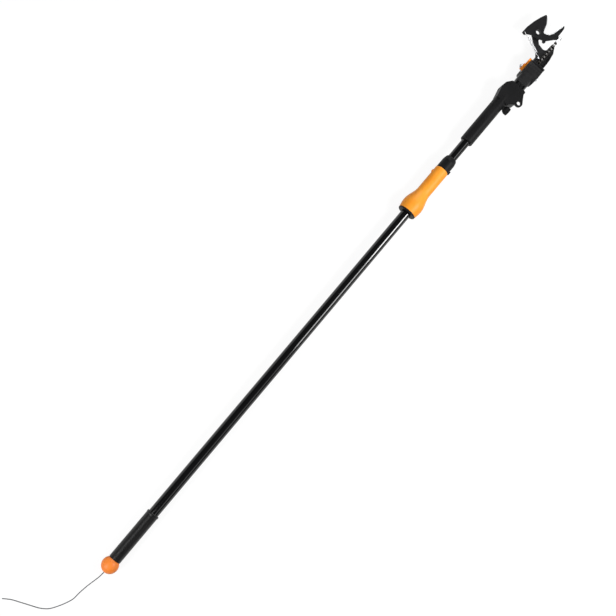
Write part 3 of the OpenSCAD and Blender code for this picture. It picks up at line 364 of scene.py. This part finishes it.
def sweep_tree():
    """A wire swept along its path."""
    tree, given = started_tree("wire_along_path", {
        "Path": "NodeSocketGeometry", "Wire radius": "NodeSocketFloat", "Wire sides": "NodeSocketInt",
        "Finish": "NodeSocketMaterial"}, "Wire")
    ring = add(tree, "GeometryNodeCurvePrimitiveCircle", None, {
        "Radius": given.outputs["Wire radius"], "Resolution": given.outputs["Wire sides"]})
    swept = add(tree, "GeometryNodeCurveToMesh", None, {
        0: given.outputs["Path"], 1: ring.outputs[0], "Fill Caps": True})
    smooth = add(tree, "GeometryNodeSetShadeSmooth", None, {0: swept.outputs[0]})
    return ended_tree(tree, smooth.outputs[0], given.outputs["Finish"])


def dome_tree():
    """One low dome on each point, such as a peened pin end."""
    tree, given = started_tree("domes_on_points", {
        "Points": "NodeSocketGeometry", "Dome radius": "NodeSocketFloat", "Dome scale": "NodeSocketVector",
        "Finish": "NodeSocketMaterial"}, "Domes")
    ball = add(tree, "GeometryNodeMeshUVSphere", None, {
        "Segments": 16, "Rings": 10, "Radius": given.outputs["Dome radius"]})
    smooth = add(tree, "GeometryNodeSetShadeSmooth", None, {0: ball.outputs[0]})
    spread = add(tree, "GeometryNodeInstanceOnPoints", None, {
        "Points": given.outputs["Points"], "Instance": smooth.outputs[0],
        "Scale": given.outputs["Dome scale"]})
    return ended_tree(tree, spread.outputs[0], given.outputs["Finish"])


WIRE_ALONG_PATH = sweep_tree()
DOMES_ON_POINTS = dome_tree()
FINE_WIRE_SIDES = 6


def grown(name, start, tree, values):
    """Runs a tree on a start object and returns the result as a plain mesh object at the origin."""
    bpy.context.scene.collection.objects.link(start)
    maker = start.modifiers.new("maker", "NODES")
    maker.node_group = tree
    sockets = {s.name: s.identifier for s in tree.interface.items_tree if s.in_out == "INPUT"}
    for label, value in values.items():
        maker[sockets[label]] = value
    bpy.context.view_layer.update()
    shaped = start.evaluated_get(bpy.context.evaluated_depsgraph_get())
    mesh = bpy.data.meshes.new_from_object(shaped)
    start.modifiers.remove(maker)
    bpy.data.objects.remove(start)
    return linked(name, mesh)


def path_object(name, lines, closed=False):
    """A curve object with one straight-sided spline for each line of points."""
    data = bpy.data.curves.new(name, "CURVE")
    data.dimensions = "3D"
    for points in lines:
        line = data.splines.new("POLY")
        line.use_cyclic_u = closed
        line.points.add(len(points) - 1)
        for at, point in zip(line.points, points):
            at.co = (*point, 1.0)
    return bpy.data.objects.new(name, data)


def point_object(name, points):
    """A mesh object of loose points."""
    data = bpy.data.meshes.new(name)
    data.from_pydata([tuple(p) for p in points], [], [])
    return bpy.data.objects.new(name, data)


def solid(name, points, faces, finish, body):
    """A mesh piece of the given corners and faces, turned outwards, riding on a body."""
    data = bpy.data.meshes.new(name)
    data.from_pydata([tuple(p) for p in points], [], faces)
    work = bmesh.new()
    work.from_mesh(data)
    bmesh.ops.remove_doubles(work, verts=work.verts, dist=1e-7)
    bmesh.ops.recalc_face_normals(work, faces=work.faces)
    work.to_mesh(data)
    work.free()
    data.materials.append(finish)
    made = linked(name, data)
    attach(made, body)
    return made


# Smooth routes and rounded outlines, as in the part's source
CORNER_STEPS = 8
CORNER_POINTS = CORNER_STEPS + 1
STRAIGHT_HALF = math.radians(89.5)
STRAIGHT_SUM = 0.02
CORNER_SHARE = 0.48


def smoothed(points, steps):
    """A smooth curve through the points, with this many steps from each to the next."""
    out = []
    last = len(points) - 1
    for i in range(last):
        a, b = points[max(i - 1, 0)], points[i]
        c, d = points[i + 1], points[min(i + 2, last)]
        for k in range(steps):
            t = k / steps
            out.append(0.5 * (2 * b + (c - a) * t + (2 * a - 5 * b + 4 * c - d) * t * t
                              + (3 * b - a - 3 * c + d) * t ** 3))
    return out + [points[last]]


def rounded(corners):
    """The outline through corners of x, y and radius, each rounded in CORNER_POINTS points."""
    out = []
    count = len(corners)
    for i in range(count):
        a = Vector(corners[i - 1][:2])
        b = Vector(corners[i][:2])
        c = Vector(corners[(i + 1) % count][:2])
        u = (a - b).normalized()
        v = (c - b).normalized()
        half = min(math.acos(max(-1, min(1, u.dot(v)))) / 2, STRAIGHT_HALF)
        bend = Vector((-u.y, u.x)) if (u + v).length < STRAIGHT_SUM else (u + v).normalized()
        reach = min(corners[i][2] / math.tan(half), CORNER_SHARE * min((a - b).length, (c - b).length))
        mid = b + bend * reach / math.cos(half)
        start = b + u * reach - mid
        side = 1 if (-u).cross(v) > 0 else -1
        sweep = math.pi - 2 * half
        for k in range(CORNER_POINTS):
            angle = side * sweep * k / CORNER_STEPS
            out.append(mid + Vector((start.x * math.cos(angle) - start.y * math.sin(angle),
                                     start.x * math.sin(angle) + start.y * math.cos(angle))))
    return out


# Cord: braided, out of the ball, down to the floor and along it, to its cut end
CORD_D = 3.0
CORD_REST = CORD_D / 2 + 0.1
CORD_IN = [12, 6, 0]
CORD_OUT = [(-20, 2, 25), (-40, 6, 20), (-60, 10, 13), (-80, 13, 7), (-100, 15, 3), (-120, 17, CORD_REST),
            (-142, 26, CORD_REST), (-165, 39, CORD_REST), (-183, 52, CORD_REST), (-193, 64, CORD_REST),
            (-202, 80, CORD_REST), (-212, 106, CORD_REST), (-222, 132, CORD_REST), (-232, 157, CORD_REST),
            (-246, 180, CORD_REST)]
CORD_STEPS = 6
CORD_SIDES = 14
CORD_STRANDS = 8
MELT_RINGS = 5
BALL_R = 27.0
foot_shift = BALL_R * math.cos(LIE) - BALL_R - FOOT_BACK
cord_points = [world(x, 0, 0) for x in CORD_IN]
cord_points += [Vector((x + foot_shift, y - AXIS_SIDE, z)) / MM_IN_M for x, y, z in CORD_OUT]
cord_path = smoothed(cord_points, CORD_STEPS)
cord_length = sum((b - a).length for a, b in zip(cord_path, cord_path[1:]))


def cord_tube(name, path):
    """A tube along the path with a melted round end, its map running along and round it in radians."""
    radius = CORD_D / 2 / MM_IN_M
    along = [0.0]
    for a, b in zip(path, path[1:]):
        along.append(along[-1] + (b - a).length)
    last = len(path) - 1
    stations = [(path[i], along[i], radius) for i in range(last)]
    end_way = (path[last] - path[last - 1]).normalized()
    for k in range(MELT_RINGS):
        angle = math.pi / 2 * k / MELT_RINGS
        short = radius * (1 - math.sin(angle))
        stations.append((path[last] - end_way * short, along[last] - short, radius * math.cos(angle)))
    work = bmesh.new()
    rings = []
    up = Vector((0, 0, 1))
    for i, (at, run, wide) in enumerate(stations):
        before = stations[max(i - 1, 0)][0]
        after = stations[min(i + 1, len(stations) - 1)][0]
        way = (after - before).normalized()
        up = (up - way * up.dot(way)).normalized()
        side = way.cross(up)
        ring = []
        for k in range(CORD_SIDES):
            angle = 2 * math.pi * k / CORD_SIDES
            ring.append(work.verts.new(at + (up * math.cos(angle) + side * math.sin(angle)) * wide))
        rings.append(ring)
    layer = work.loops.layers.uv.new("along_and_round")
    for i in range(len(rings) - 1):
        here, there = rings[i], rings[i + 1]
        runs = (stations[i][1], stations[i][1], stations[i + 1][1], stations[i + 1][1])
        for k in range(CORD_SIDES):
            n = (k + 1) % CORD_SIDES
            face = work.faces.new((here[k], here[n], there[n], there[k]))
            face.smooth = True
            for loop, run, spot in zip(face.loops, runs, (k, k + 1, k + 1, k)):
                loop[layer].uv = (run / radius * CORD_STRANDS / 2,
                                  2 * math.pi * spot / CORD_SIDES * CORD_STRANDS / 2)
    work.faces.new(rings[0][::-1])
    work.faces.new(rings[-1])
    bmesh.ops.recalc_face_normals(work, faces=work.faces)
    data = bpy.data.meshes.new(name)
    work.to_mesh(data)
    work.free()
    data.materials.append(cord_braid)
    return linked(name, data)


pull_cord = cord_tube("pull_cord", cord_path)
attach(pull_cord, "ball")
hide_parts("cord")

# Run of the cord from the ball to the strap's tie inside the pole, seen when the ball is pulled out
CORD_TIED = [147, 120, 90, 60, 30, 10]
tied_cord = cord_tube("tied_cord", [world(x, 0, 0) for x in CORD_TIED])
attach(tied_cord, "ball")

# Return spring: one wire from the post round the coil to the blade's ear
WIRE_R = 0.8
WIRE_SIDES = 10
COIL_D = 10.0
COIL_TURNS = 24
COIL_LEN = 58.0
COIL_STEPS = 20
HOOK_STEPS = 6
HOOK_LEAD = 4
SPRING_LIFT = 4.5
POST_AT = (DRUM_X + 52, -4.5)
EAR_AT = (PIVOT[0] - 36, PIVOT[1] + 35)
POST_DROPS = (4.7, 3.2)
EAR_HEIGHTS = (6.0, 2.0, -2.5)
coil_r = COIL_D / 2 - WIRE_R
spring_z = COIL_D / 2 + SPRING_LIFT
spring_a = Vector((*POST_AT, spring_z))
spring_b = Vector((*EAR_AT, spring_z))
spring_way = (spring_b - spring_a).normalized()
spring_side = Vector((spring_way.y, -spring_way.x, 0))
coil_start = ((spring_b - spring_a).length - COIL_LEN) / 2
down = Vector((0, 0, -1))


def hook(end, way):
    """The wire from an end of the spring to its coil: inwards, down to the coil's rim, a little aside."""
    bends = ((2 * WIRE_R, 0.3 * coil_r, 0.0), (0.5 * coil_start, 0.6 * coil_r, 0.0),
             (coil_start - HOOK_LEAD, coil_r, WIRE_R))
    line = []
    for run, drop, aside in bends:
        line.append(end + (spring_way * run - spring_side * aside) * way + down * drop)
    return line


coil = []
for i in range(COIL_STEPS * COIL_TURNS + 1):
    angle = 2 * math.pi * i / COIL_STEPS
    run = coil_start + COIL_LEN * i / (COIL_STEPS * COIL_TURNS)
    round_way = spring_side * math.sin(angle) + down * math.cos(angle)
    coil.append(spring_a + spring_way * run + round_way * coil_r)
post_hook = [spring_a + down * drop for drop in POST_DROPS] + hook(spring_a, 1)
ear_hook = hook(spring_b, -1)[::-1] + [spring_b + down * (spring_z - high) for high in EAR_HEIGHTS]
spring_line = (smoothed(post_hook + [coil[0]], HOOK_STEPS)[:-1] + coil
               + smoothed([coil[-1]] + ear_hook, HOOK_STEPS)[1:])
spring_path = path_object("spring_path", [[world(*p) for p in spring_line]])
coil_spring = grown("coil_spring", spring_path, WIRE_ALONG_PATH,
                    {"Wire radius": WIRE_R / MM_IN_M, "Wire sides": WIRE_SIDES, "Finish": spring_wire})
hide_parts("return_spring")
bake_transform(coil_spring)

# Peened ends of the chain's pins, on the run outside the drum
PITCH = 12.7
RUN_PITCHES = 6
LEG_LEN = 78
LEG_ANGLE = math.radians(-63)
LINK_LEN = 15
BLOCK_LEN = 8
CHAIN_X = PIVOT[0] + LEG_LEN * math.cos(LEG_ANGLE) - LINK_LEN - BLOCK_LEN
CHAIN_Y = -17.4985
ROLLER_HALF = 2.4
PLATE_T = 1.1
PLATE_GAP = 0.1
PIN_PROUD = 0.4
PIN_END = ROLLER_HALF + 2 * (PLATE_GAP + PLATE_T) + PIN_PROUD
PIN_DOME_R = 1.75
PIN_DOME_SCALE = (1, 0.35, 1)
pin_spots = []
for i in range(RUN_PITCHES + 1):
    for side in (-1, 1):
        pin_spots.append(world(CHAIN_X - PITCH * i, CHAIN_Y + side * PIN_END, 0))
pin_ends = grown("chain_pin_ends", point_object("pin_spots", pin_spots), DOMES_ON_POINTS,
                 {"Dome radius": PIN_DOME_R / MM_IN_M, "Dome scale": PIN_DOME_SCALE,
                  "Finish": roller_steel})
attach(pin_ends, "chain")

# Chain in the drum: its first link travels with the run outside, and the others stay where they lie,
# bent over the guide
FIRST_LINK_PITCHES = 1.25
SHARP_ANGLE = math.radians(35)


def shells(work):
    """The groups of corners that hang together in a mesh."""
    left = set(work.verts)
    while left:
        front = [left.pop()]
        shell = list(front)
        while front:
            at = front.pop()
            for edge in at.link_edges:
                other = edge.other_vert(at)
                if other in left:
                    left.discard(other)
                    shell.append(other)
                    front.append(other)
        yield shell


def chain_part(name, low_x, high_x):
    """A copy of the tail's links whose middles lie between two places along the frame's x axis."""
    source = nodes["chain_tail"]
    data = source.data.copy()
    data.transform(source.matrix_world)
    work = bmesh.new()
    work.from_mesh(data)
    bmesh.ops.remove_doubles(work, verts=work.verts, dist=1e-6)
    for shell in list(shells(work)):
        middle = (min(v.co.x for v in shell) + max(v.co.x for v in shell)) / 2
        if not low_x <= middle < high_x:
            bmesh.ops.delete(work, geom=shell, context="VERTS")
    work.to_mesh(data)
    work.free()
    for face in data.polygons:
        face.use_smooth = True
    data.set_sharp_from_angle(angle=SHARP_ANGLE)
    made = linked(name, data)
    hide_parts("chain_tail")
    return made


tail_end_x = world(0, 0, 0).x
split_x = world(CHAIN_X - PITCH * (RUN_PITCHES + FIRST_LINK_PITCHES), 0, 0).x
tail_start_x = world(CHAIN_X, 0, 0).x
mouth_link = chain_part("mouth_link", split_x, tail_start_x)
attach(mouth_link, "chain")
drum_chain = chain_part("drum_chain", tail_end_x, split_x)
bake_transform(drum_chain)

# Ground bevel along the jaw's mouth, and the narrow one along the hook's inner edge.
# The outlines are corners of x, y and radius about the blade's pivot.
JAW_OUTLINE = [(9, -13, 4), (16, -25, 12), (25, -34.5, 14), (42, -42.5, 20), (60, -45.5, 20),
               (84, -54, 1.5), (77, -60.5, 6), (58, -62, 14), (38, -62, 14), (20, -57, 12),
               (2, -40, 12), (-10, -22, 8), (-22, -18, 4), (-22, 11, 4), (-4, 14, 4)]
HOOK_OUTLINE = [(43, 26.5, 60), (66, 17, 1.2), (64, 11, 2), (54, 2.5, 30), (41.5, -5.5, 30),
                (20, -11.5, 10), (12, -15, 4), (10, -22, 8), (14, -34, 12), (40.9, -66.7, 1)]
JAW_TOP = -2.3
JAW_LOW = -6.5
JAW_BEVEL = 4.0
HOOK_TOP = 2.0
HOOK_LOW = -2.0
HOOK_BEVEL = 2.6
EDGE_STEP = 1.5
EDGE_LIFT = 0.05
EDGE_SINK = 0.3
EDGE_CORNERS = 5
EDGE_LOOK = 2
TIP_WIDTH = 0.15
TIP_RISE = 5


def even_steps(line, step):
    """The same line with its points a fixed length apart."""
    out = [line[0]]
    left = step
    for a, b in zip(line, line[1:]):
        gap = (b - a).length
        run = left
        while run <= gap:
            out.append(a + (b - a) * (run / gap))
            run += step
        left = run - gap
    return out


def ground_edge(name, outline, width, top, low, finish, body):
    """A facet ground on the top face along an edge line, and the bright edge face under it."""
    corners = []
    faces = []
    line = even_steps(outline, EDGE_STEP)
    count = len(line)
    for i, at in enumerate(line):
        way = (line[min(i + EDGE_LOOK, count - 1)] - line[max(i - EDGE_LOOK, 0)]).normalized()
        inner = Vector((way.y, -way.x))
        taper = min(1.0, TIP_WIDTH + TIP_RISE * i / count, TIP_WIDTH + TIP_RISE * (count - 1 - i) / count)
        out = at - inner * EDGE_LIFT
        back = at + inner * width * taper
        for p, z in ((back, top - EDGE_SINK), (back, top + EDGE_LIFT), (out, top + EDGE_LIFT), (out, low),
                     (at + inner * EDGE_SINK, low)):
            corners.append(world(PIVOT[0] + p.x, PIVOT[1] + p.y, z))
    for i in range(count - 1):
        here = EDGE_CORNERS * i
        there = here + EDGE_CORNERS
        for k in range(EDGE_CORNERS):
            n = (k + 1) % EDGE_CORNERS
            faces.append((here + k, here + n, there + n, there + k))
    faces.append(tuple(range(EDGE_CORNERS - 1, -1, -1)))
    faces.append(tuple(EDGE_CORNERS * (count - 1) + k for k in range(EDGE_CORNERS)))
    made = solid(name, corners, faces, finish, body)
    for face in made.data.polygons:
        face.use_smooth = len(face.vertices) == 4
    for edge in made.data.edges:
        edge.use_edge_sharp = edge.vertices[0] // EDGE_CORNERS != edge.vertices[1] // EDGE_CORNERS


# The jaw's bevel runs from its second corner to the middle of its tip, and the hook's from the middle
# of its third corner to the end of its seventh
jaw_mouth = rounded(JAW_OUTLINE)[CORNER_POINTS:5 * CORNER_POINTS + 5]
ground_edge("jaw_ground_edge", jaw_mouth, JAW_BEVEL, JAW_TOP, JAW_LOW, ground_steel, "head")
hook_inside = rounded(HOOK_OUTLINE)[2 * CORNER_POINTS + 4:7 * CORNER_POINTS]
ground_edge("hook_ground_edge", hook_inside, HOOK_BEVEL, HOOK_TOP, HOOK_LOW, rubbed_edge, "blade")

# Nut on the drum: chamfered hexagon, the bolt's threaded and rounded end, on the drum's own axis
NUT_Y = 15.6
NUT_TALL = 8.4
NUT_FLATS = 16.0
NUT_STEPS = 72
NUT_SIDES = 6
NUT_RING = 6
NUT_CHAMFER = math.radians(30)
CHAMFER_INSET = 0.2
BORE_GAP = 0.1
BOLT_R = 5.0
BOLT_PROUD = 2.5
TIP_INSET = 0.6
TIP_SCALE = (1, 0.2, 1)


def on_drum(a, b, y):
    """A point ahead of the drum's axis, below it, and along it."""
    return world(DRUM_X + a, y, DRUM_Z - b)


def hexagon_nut(name, low, high):
    """Hexagon whose corners are turned off on both faces."""
    corners = []
    faces = []
    bore = BOLT_R + BORE_GAP
    round_r = NUT_FLATS / 2 - CHAMFER_INSET
    for i in range(NUT_STEPS):
        angle = 2 * math.pi * i / NUT_STEPS
        turned = (angle % (2 * math.pi / NUT_SIDES)) - math.pi / NUT_SIDES
        wide = NUT_FLATS / 2 / math.cos(turned)
        drop = (wide - round_r) * math.tan(NUT_CHAMFER)
        for r, y in ((bore, low), (round_r, low), (wide, low + drop), (wide, high - drop), (round_r, high),
                     (bore, high)):
            corners.append(on_drum(r * math.cos(angle), r * math.sin(angle), y))
    for i in range(NUT_STEPS):
        here = NUT_RING * i
        there = NUT_RING * ((i + 1) % NUT_STEPS)
        for k in range(NUT_RING):
            n = (k + 1) % NUT_RING
            faces.append((here + k, here + n, there + n, there + k))
    return solid(name, corners, faces, zinc_steel, "upper")


drum_nut = hexagon_nut("drum_nut", NUT_Y, NUT_Y + NUT_TALL)
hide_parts("swivel_nut")

THREAD_PITCH = 1.25
THREAD_R = 0.4
THREAD_SINK = 0.15
THREAD_END = 0.3
THREAD_STEPS = 60
bolt_end = NUT_Y + NUT_TALL + BOLT_PROUD
thread_len = BOLT_PROUD - 2 * THREAD_END
crest_r = BOLT_R - THREAD_SINK
thread_line = []
for i in range(THREAD_STEPS + 1):
    angle = 2 * math.pi * thread_len / THREAD_PITCH * i / THREAD_STEPS
    along = bolt_end - THREAD_END - thread_len * i / THREAD_STEPS
    thread_line.append(on_drum(crest_r * math.cos(angle), crest_r * math.sin(angle), along))
thread = grown("bolt_thread", path_object("thread_path", [thread_line]), WIRE_ALONG_PATH,
               {"Wire radius": THREAD_R / MM_IN_M, "Wire sides": FINE_WIRE_SIDES, "Finish": zinc_steel})
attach(thread, "upper")
bolt_tip = grown("bolt_tip", point_object("bolt_spot", [on_drum(0, 0, bolt_end)]), DOMES_ON_POINTS,
                 {"Dome radius": (BOLT_R - TIP_INSET) / MM_IN_M, "Dome scale": TIP_SCALE,
                  "Finish": zinc_steel})
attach(bolt_tip, "upper")

# Marks moulded on the cap where the lever points when the swivel is locked and when it is free
CAP_TOP = 10.0
MARK_SINK = 0.1
MARK_WIRE_R = 0.3
LOCK_HALF = 2.4
LOCK_TALL = 3.4
BOW_R = 1.5
BOW_RISE = 0.9
BOW_STEPS = 10
LOCKED_AT = (-13.5, 16.5)
FREE_AT = (12.0, 17.5)
MARK_TILT = math.radians(25)
OPEN_SHIFT = 1.6


def lock_mark(at, tilt, shift):
    """Outline of a small padlock: its body, and its bow, which stands to one side when it is open."""
    body = [(-LOCK_HALF, 0), (LOCK_HALF, 0), (LOCK_HALF, LOCK_TALL), (-LOCK_HALF, LOCK_TALL),
            (-LOCK_HALF, 0)]
    bow = [(BOW_R + shift, 0)]
    for k in range(BOW_STEPS + 1):
        angle = math.pi * k / BOW_STEPS
        bow.append((BOW_R * math.cos(angle) + shift, -BOW_RISE - BOW_R * math.sin(angle)))
    if not shift:
        bow.append((-BOW_R, 0))
    lines = []
    for outline in (body, bow):
        line = []
        for p, q in outline:
            line.append(on_drum(at[0] + p * math.cos(tilt) - q * math.sin(tilt),
                                at[1] + p * math.sin(tilt) + q * math.cos(tilt), CAP_TOP - MARK_SINK))
        lines.append(line)
    return lines


mark_lines = lock_mark(LOCKED_AT, MARK_TILT, 0.0) + lock_mark(FREE_AT, -MARK_TILT, OPEN_SHIFT)
marks = grown("lock_marks", path_object("mark_paths", mark_lines), WIRE_ALONG_PATH,
              {"Wire radius": MARK_WIRE_R / MM_IN_M, "Wire sides": FINE_WIRE_SIDES, "Finish": cast_alloy})
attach(marks, "upper")

# Parting line of the ball's mould, a fine ridge round its middle
SEAM_R = BALL_R - 0.22
SEAM_WIRE_R = 0.3
SEAM_STEPS = 96
seam_line = []
for i in range(SEAM_STEPS):
    angle = 2 * math.pi * i / SEAM_STEPS
    seam_line.append(world(BALL_R, SEAM_R * math.cos(angle), SEAM_R * math.sin(angle)))
ball_seam = grown("ball_seam", path_object("seam_path", [seam_line], True), WIRE_ALONG_PATH,
                  {"Wire radius": SEAM_WIRE_R / MM_IN_M, "Wire sides": FINE_WIRE_SIDES,
                   "Finish": orange_ball_painted_shade})
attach(ball_seam, "ball")

# Floor and light, in metres.
# The floor is a round paper sweep that rises on every side, so no edge of it shows.
FLOOR_R = 12.0
COVE_R = 2.0
WALL_TALL = 3.6
COVE_STEPS = 12
SWEEP_SIDES = 96
PAPER_GLOW = 0.88
STUDIO_LEVEL = 0.1
WHITE = (1, 1, 1, 1)
sweep_profile = [(FLOOR_R, 0.0)]
for i in range(1, COVE_STEPS + 1):
    angle = math.pi / 2 * i / COVE_STEPS
    sweep_profile.append((FLOOR_R + COVE_R * math.sin(angle), COVE_R * (1 - math.cos(angle))))
sweep_profile.append((FLOOR_R + COVE_R, WALL_TALL))
sweep_points = []
sweep_faces = [tuple(range(SWEEP_SIDES))]
for i, (r, z) in enumerate(sweep_profile):
    for k in range(SWEEP_SIDES):
        angle = 2 * math.pi * k / SWEEP_SIDES
        sweep_points.append((r * math.cos(angle), r * math.sin(angle), z))
        if i:
            inside = SWEEP_SIDES * (i - 1)
            outside = SWEEP_SIDES * i
            n = (k + 1) % SWEEP_SIDES
            sweep_faces.append((inside + k, outside + k, outside + n, inside + n))
floor_data = bpy.data.meshes.new("floor")
floor_data.from_pydata(sweep_points, [], sweep_faces)
for face in floor_data.polygons:
    face.use_smooth = True
floor = linked("floor", floor_data)

# White paper: it glows for the camera and in reflections, and its grey base keeps the pole's shadow
floor_paper, tree, shader = started("white_paper_sweep", {
    "Base Color": linear("#6C6C6C"), "Roughness": 0.9, "Specular IOR Level": 0.1, "Emission Color": WHITE})
rays = add(tree, "ShaderNodeLightPath")
direct = add(tree, "ShaderNodeMath", {"operation": "MAXIMUM"}, {
    0: rays.outputs["Is Camera Ray"], 1: rays.outputs["Is Glossy Ray"]})
seen = add(tree, "ShaderNodeMath", {"operation": "MAXIMUM"}, {
    0: direct.outputs[0], 1: rays.outputs["Is Transmission Ray"]})
glow = add(tree, "ShaderNodeMath", {"operation": "MULTIPLY"}, {0: seen.outputs[0], 1: PAPER_GLOW})
tree.links.new(glow.outputs[0], shader.inputs["Emission Strength"])
floor_data.materials.append(floor_paper)

studio = bpy.data.worlds.new("studio")
studio.use_nodes = True
studio.node_tree.nodes["Background"].inputs["Color"].default_value = WHITE
studio.node_tree.nodes["Background"].inputs["Strength"].default_value = STUDIO_LEVEL
bpy.context.scene.world = studio

# Softboxes: place, point aimed at, length along the pole, width, watts
SOFTBOXES = {
    "key": ((0.33, -1.46, 1.87), (0.2, 0, 0), 0.65, 0.9, 19),
    "handle_strip": ((0.86, -1.46, 1.87), (0.3, 0, 0), 0.4, 0.9, 30),
    "upper_strip": ((1.48, -1.46, 1.87), (0.6, 0, 0), 0.3, 0.9, 2.6),
    "foot_strip": ((-0.6, -1.46, 1.87), (-0.9, 0, 0), 1.2, 0.4, 4),
    "grip_top": ((-1.42, 1.05, 2.5), (-1.05, 0, 0), 0.4, 1.0, 9),
    "foot_fill": ((-3.3, 1.5, 2.0), (-0.7, 0, 0), 1.5, 1.5, 87),
    "head_fill": ((3.9, 1.5, 2.0), (0.7, 0, 0), 1.5, 1.5, 60),
    "head_top": ((2.9, -0.3, 3.0), (1.05, 0, 0), 0.9, 0.9, 8)}
for name, (at, aim, long, wide, watts) in SOFTBOXES.items():
    lamp_data = bpy.data.lights.new(name, "AREA")
    lamp_data.shape = "RECTANGLE"
    lamp_data.size = long
    lamp_data.size_y = wide
    lamp_data.energy = watts
    way = (Vector(aim) - Vector(at)).normalized()
    flat = Vector((1, 0, 0))
    flat = (flat - way * flat.dot(way)).normalized()
    lamp = linked(name, lamp_data)
    lamp.matrix_world = Matrix.Translation(at) @ Matrix((flat, flat.cross(way), -way)).transposed().to_4x4()
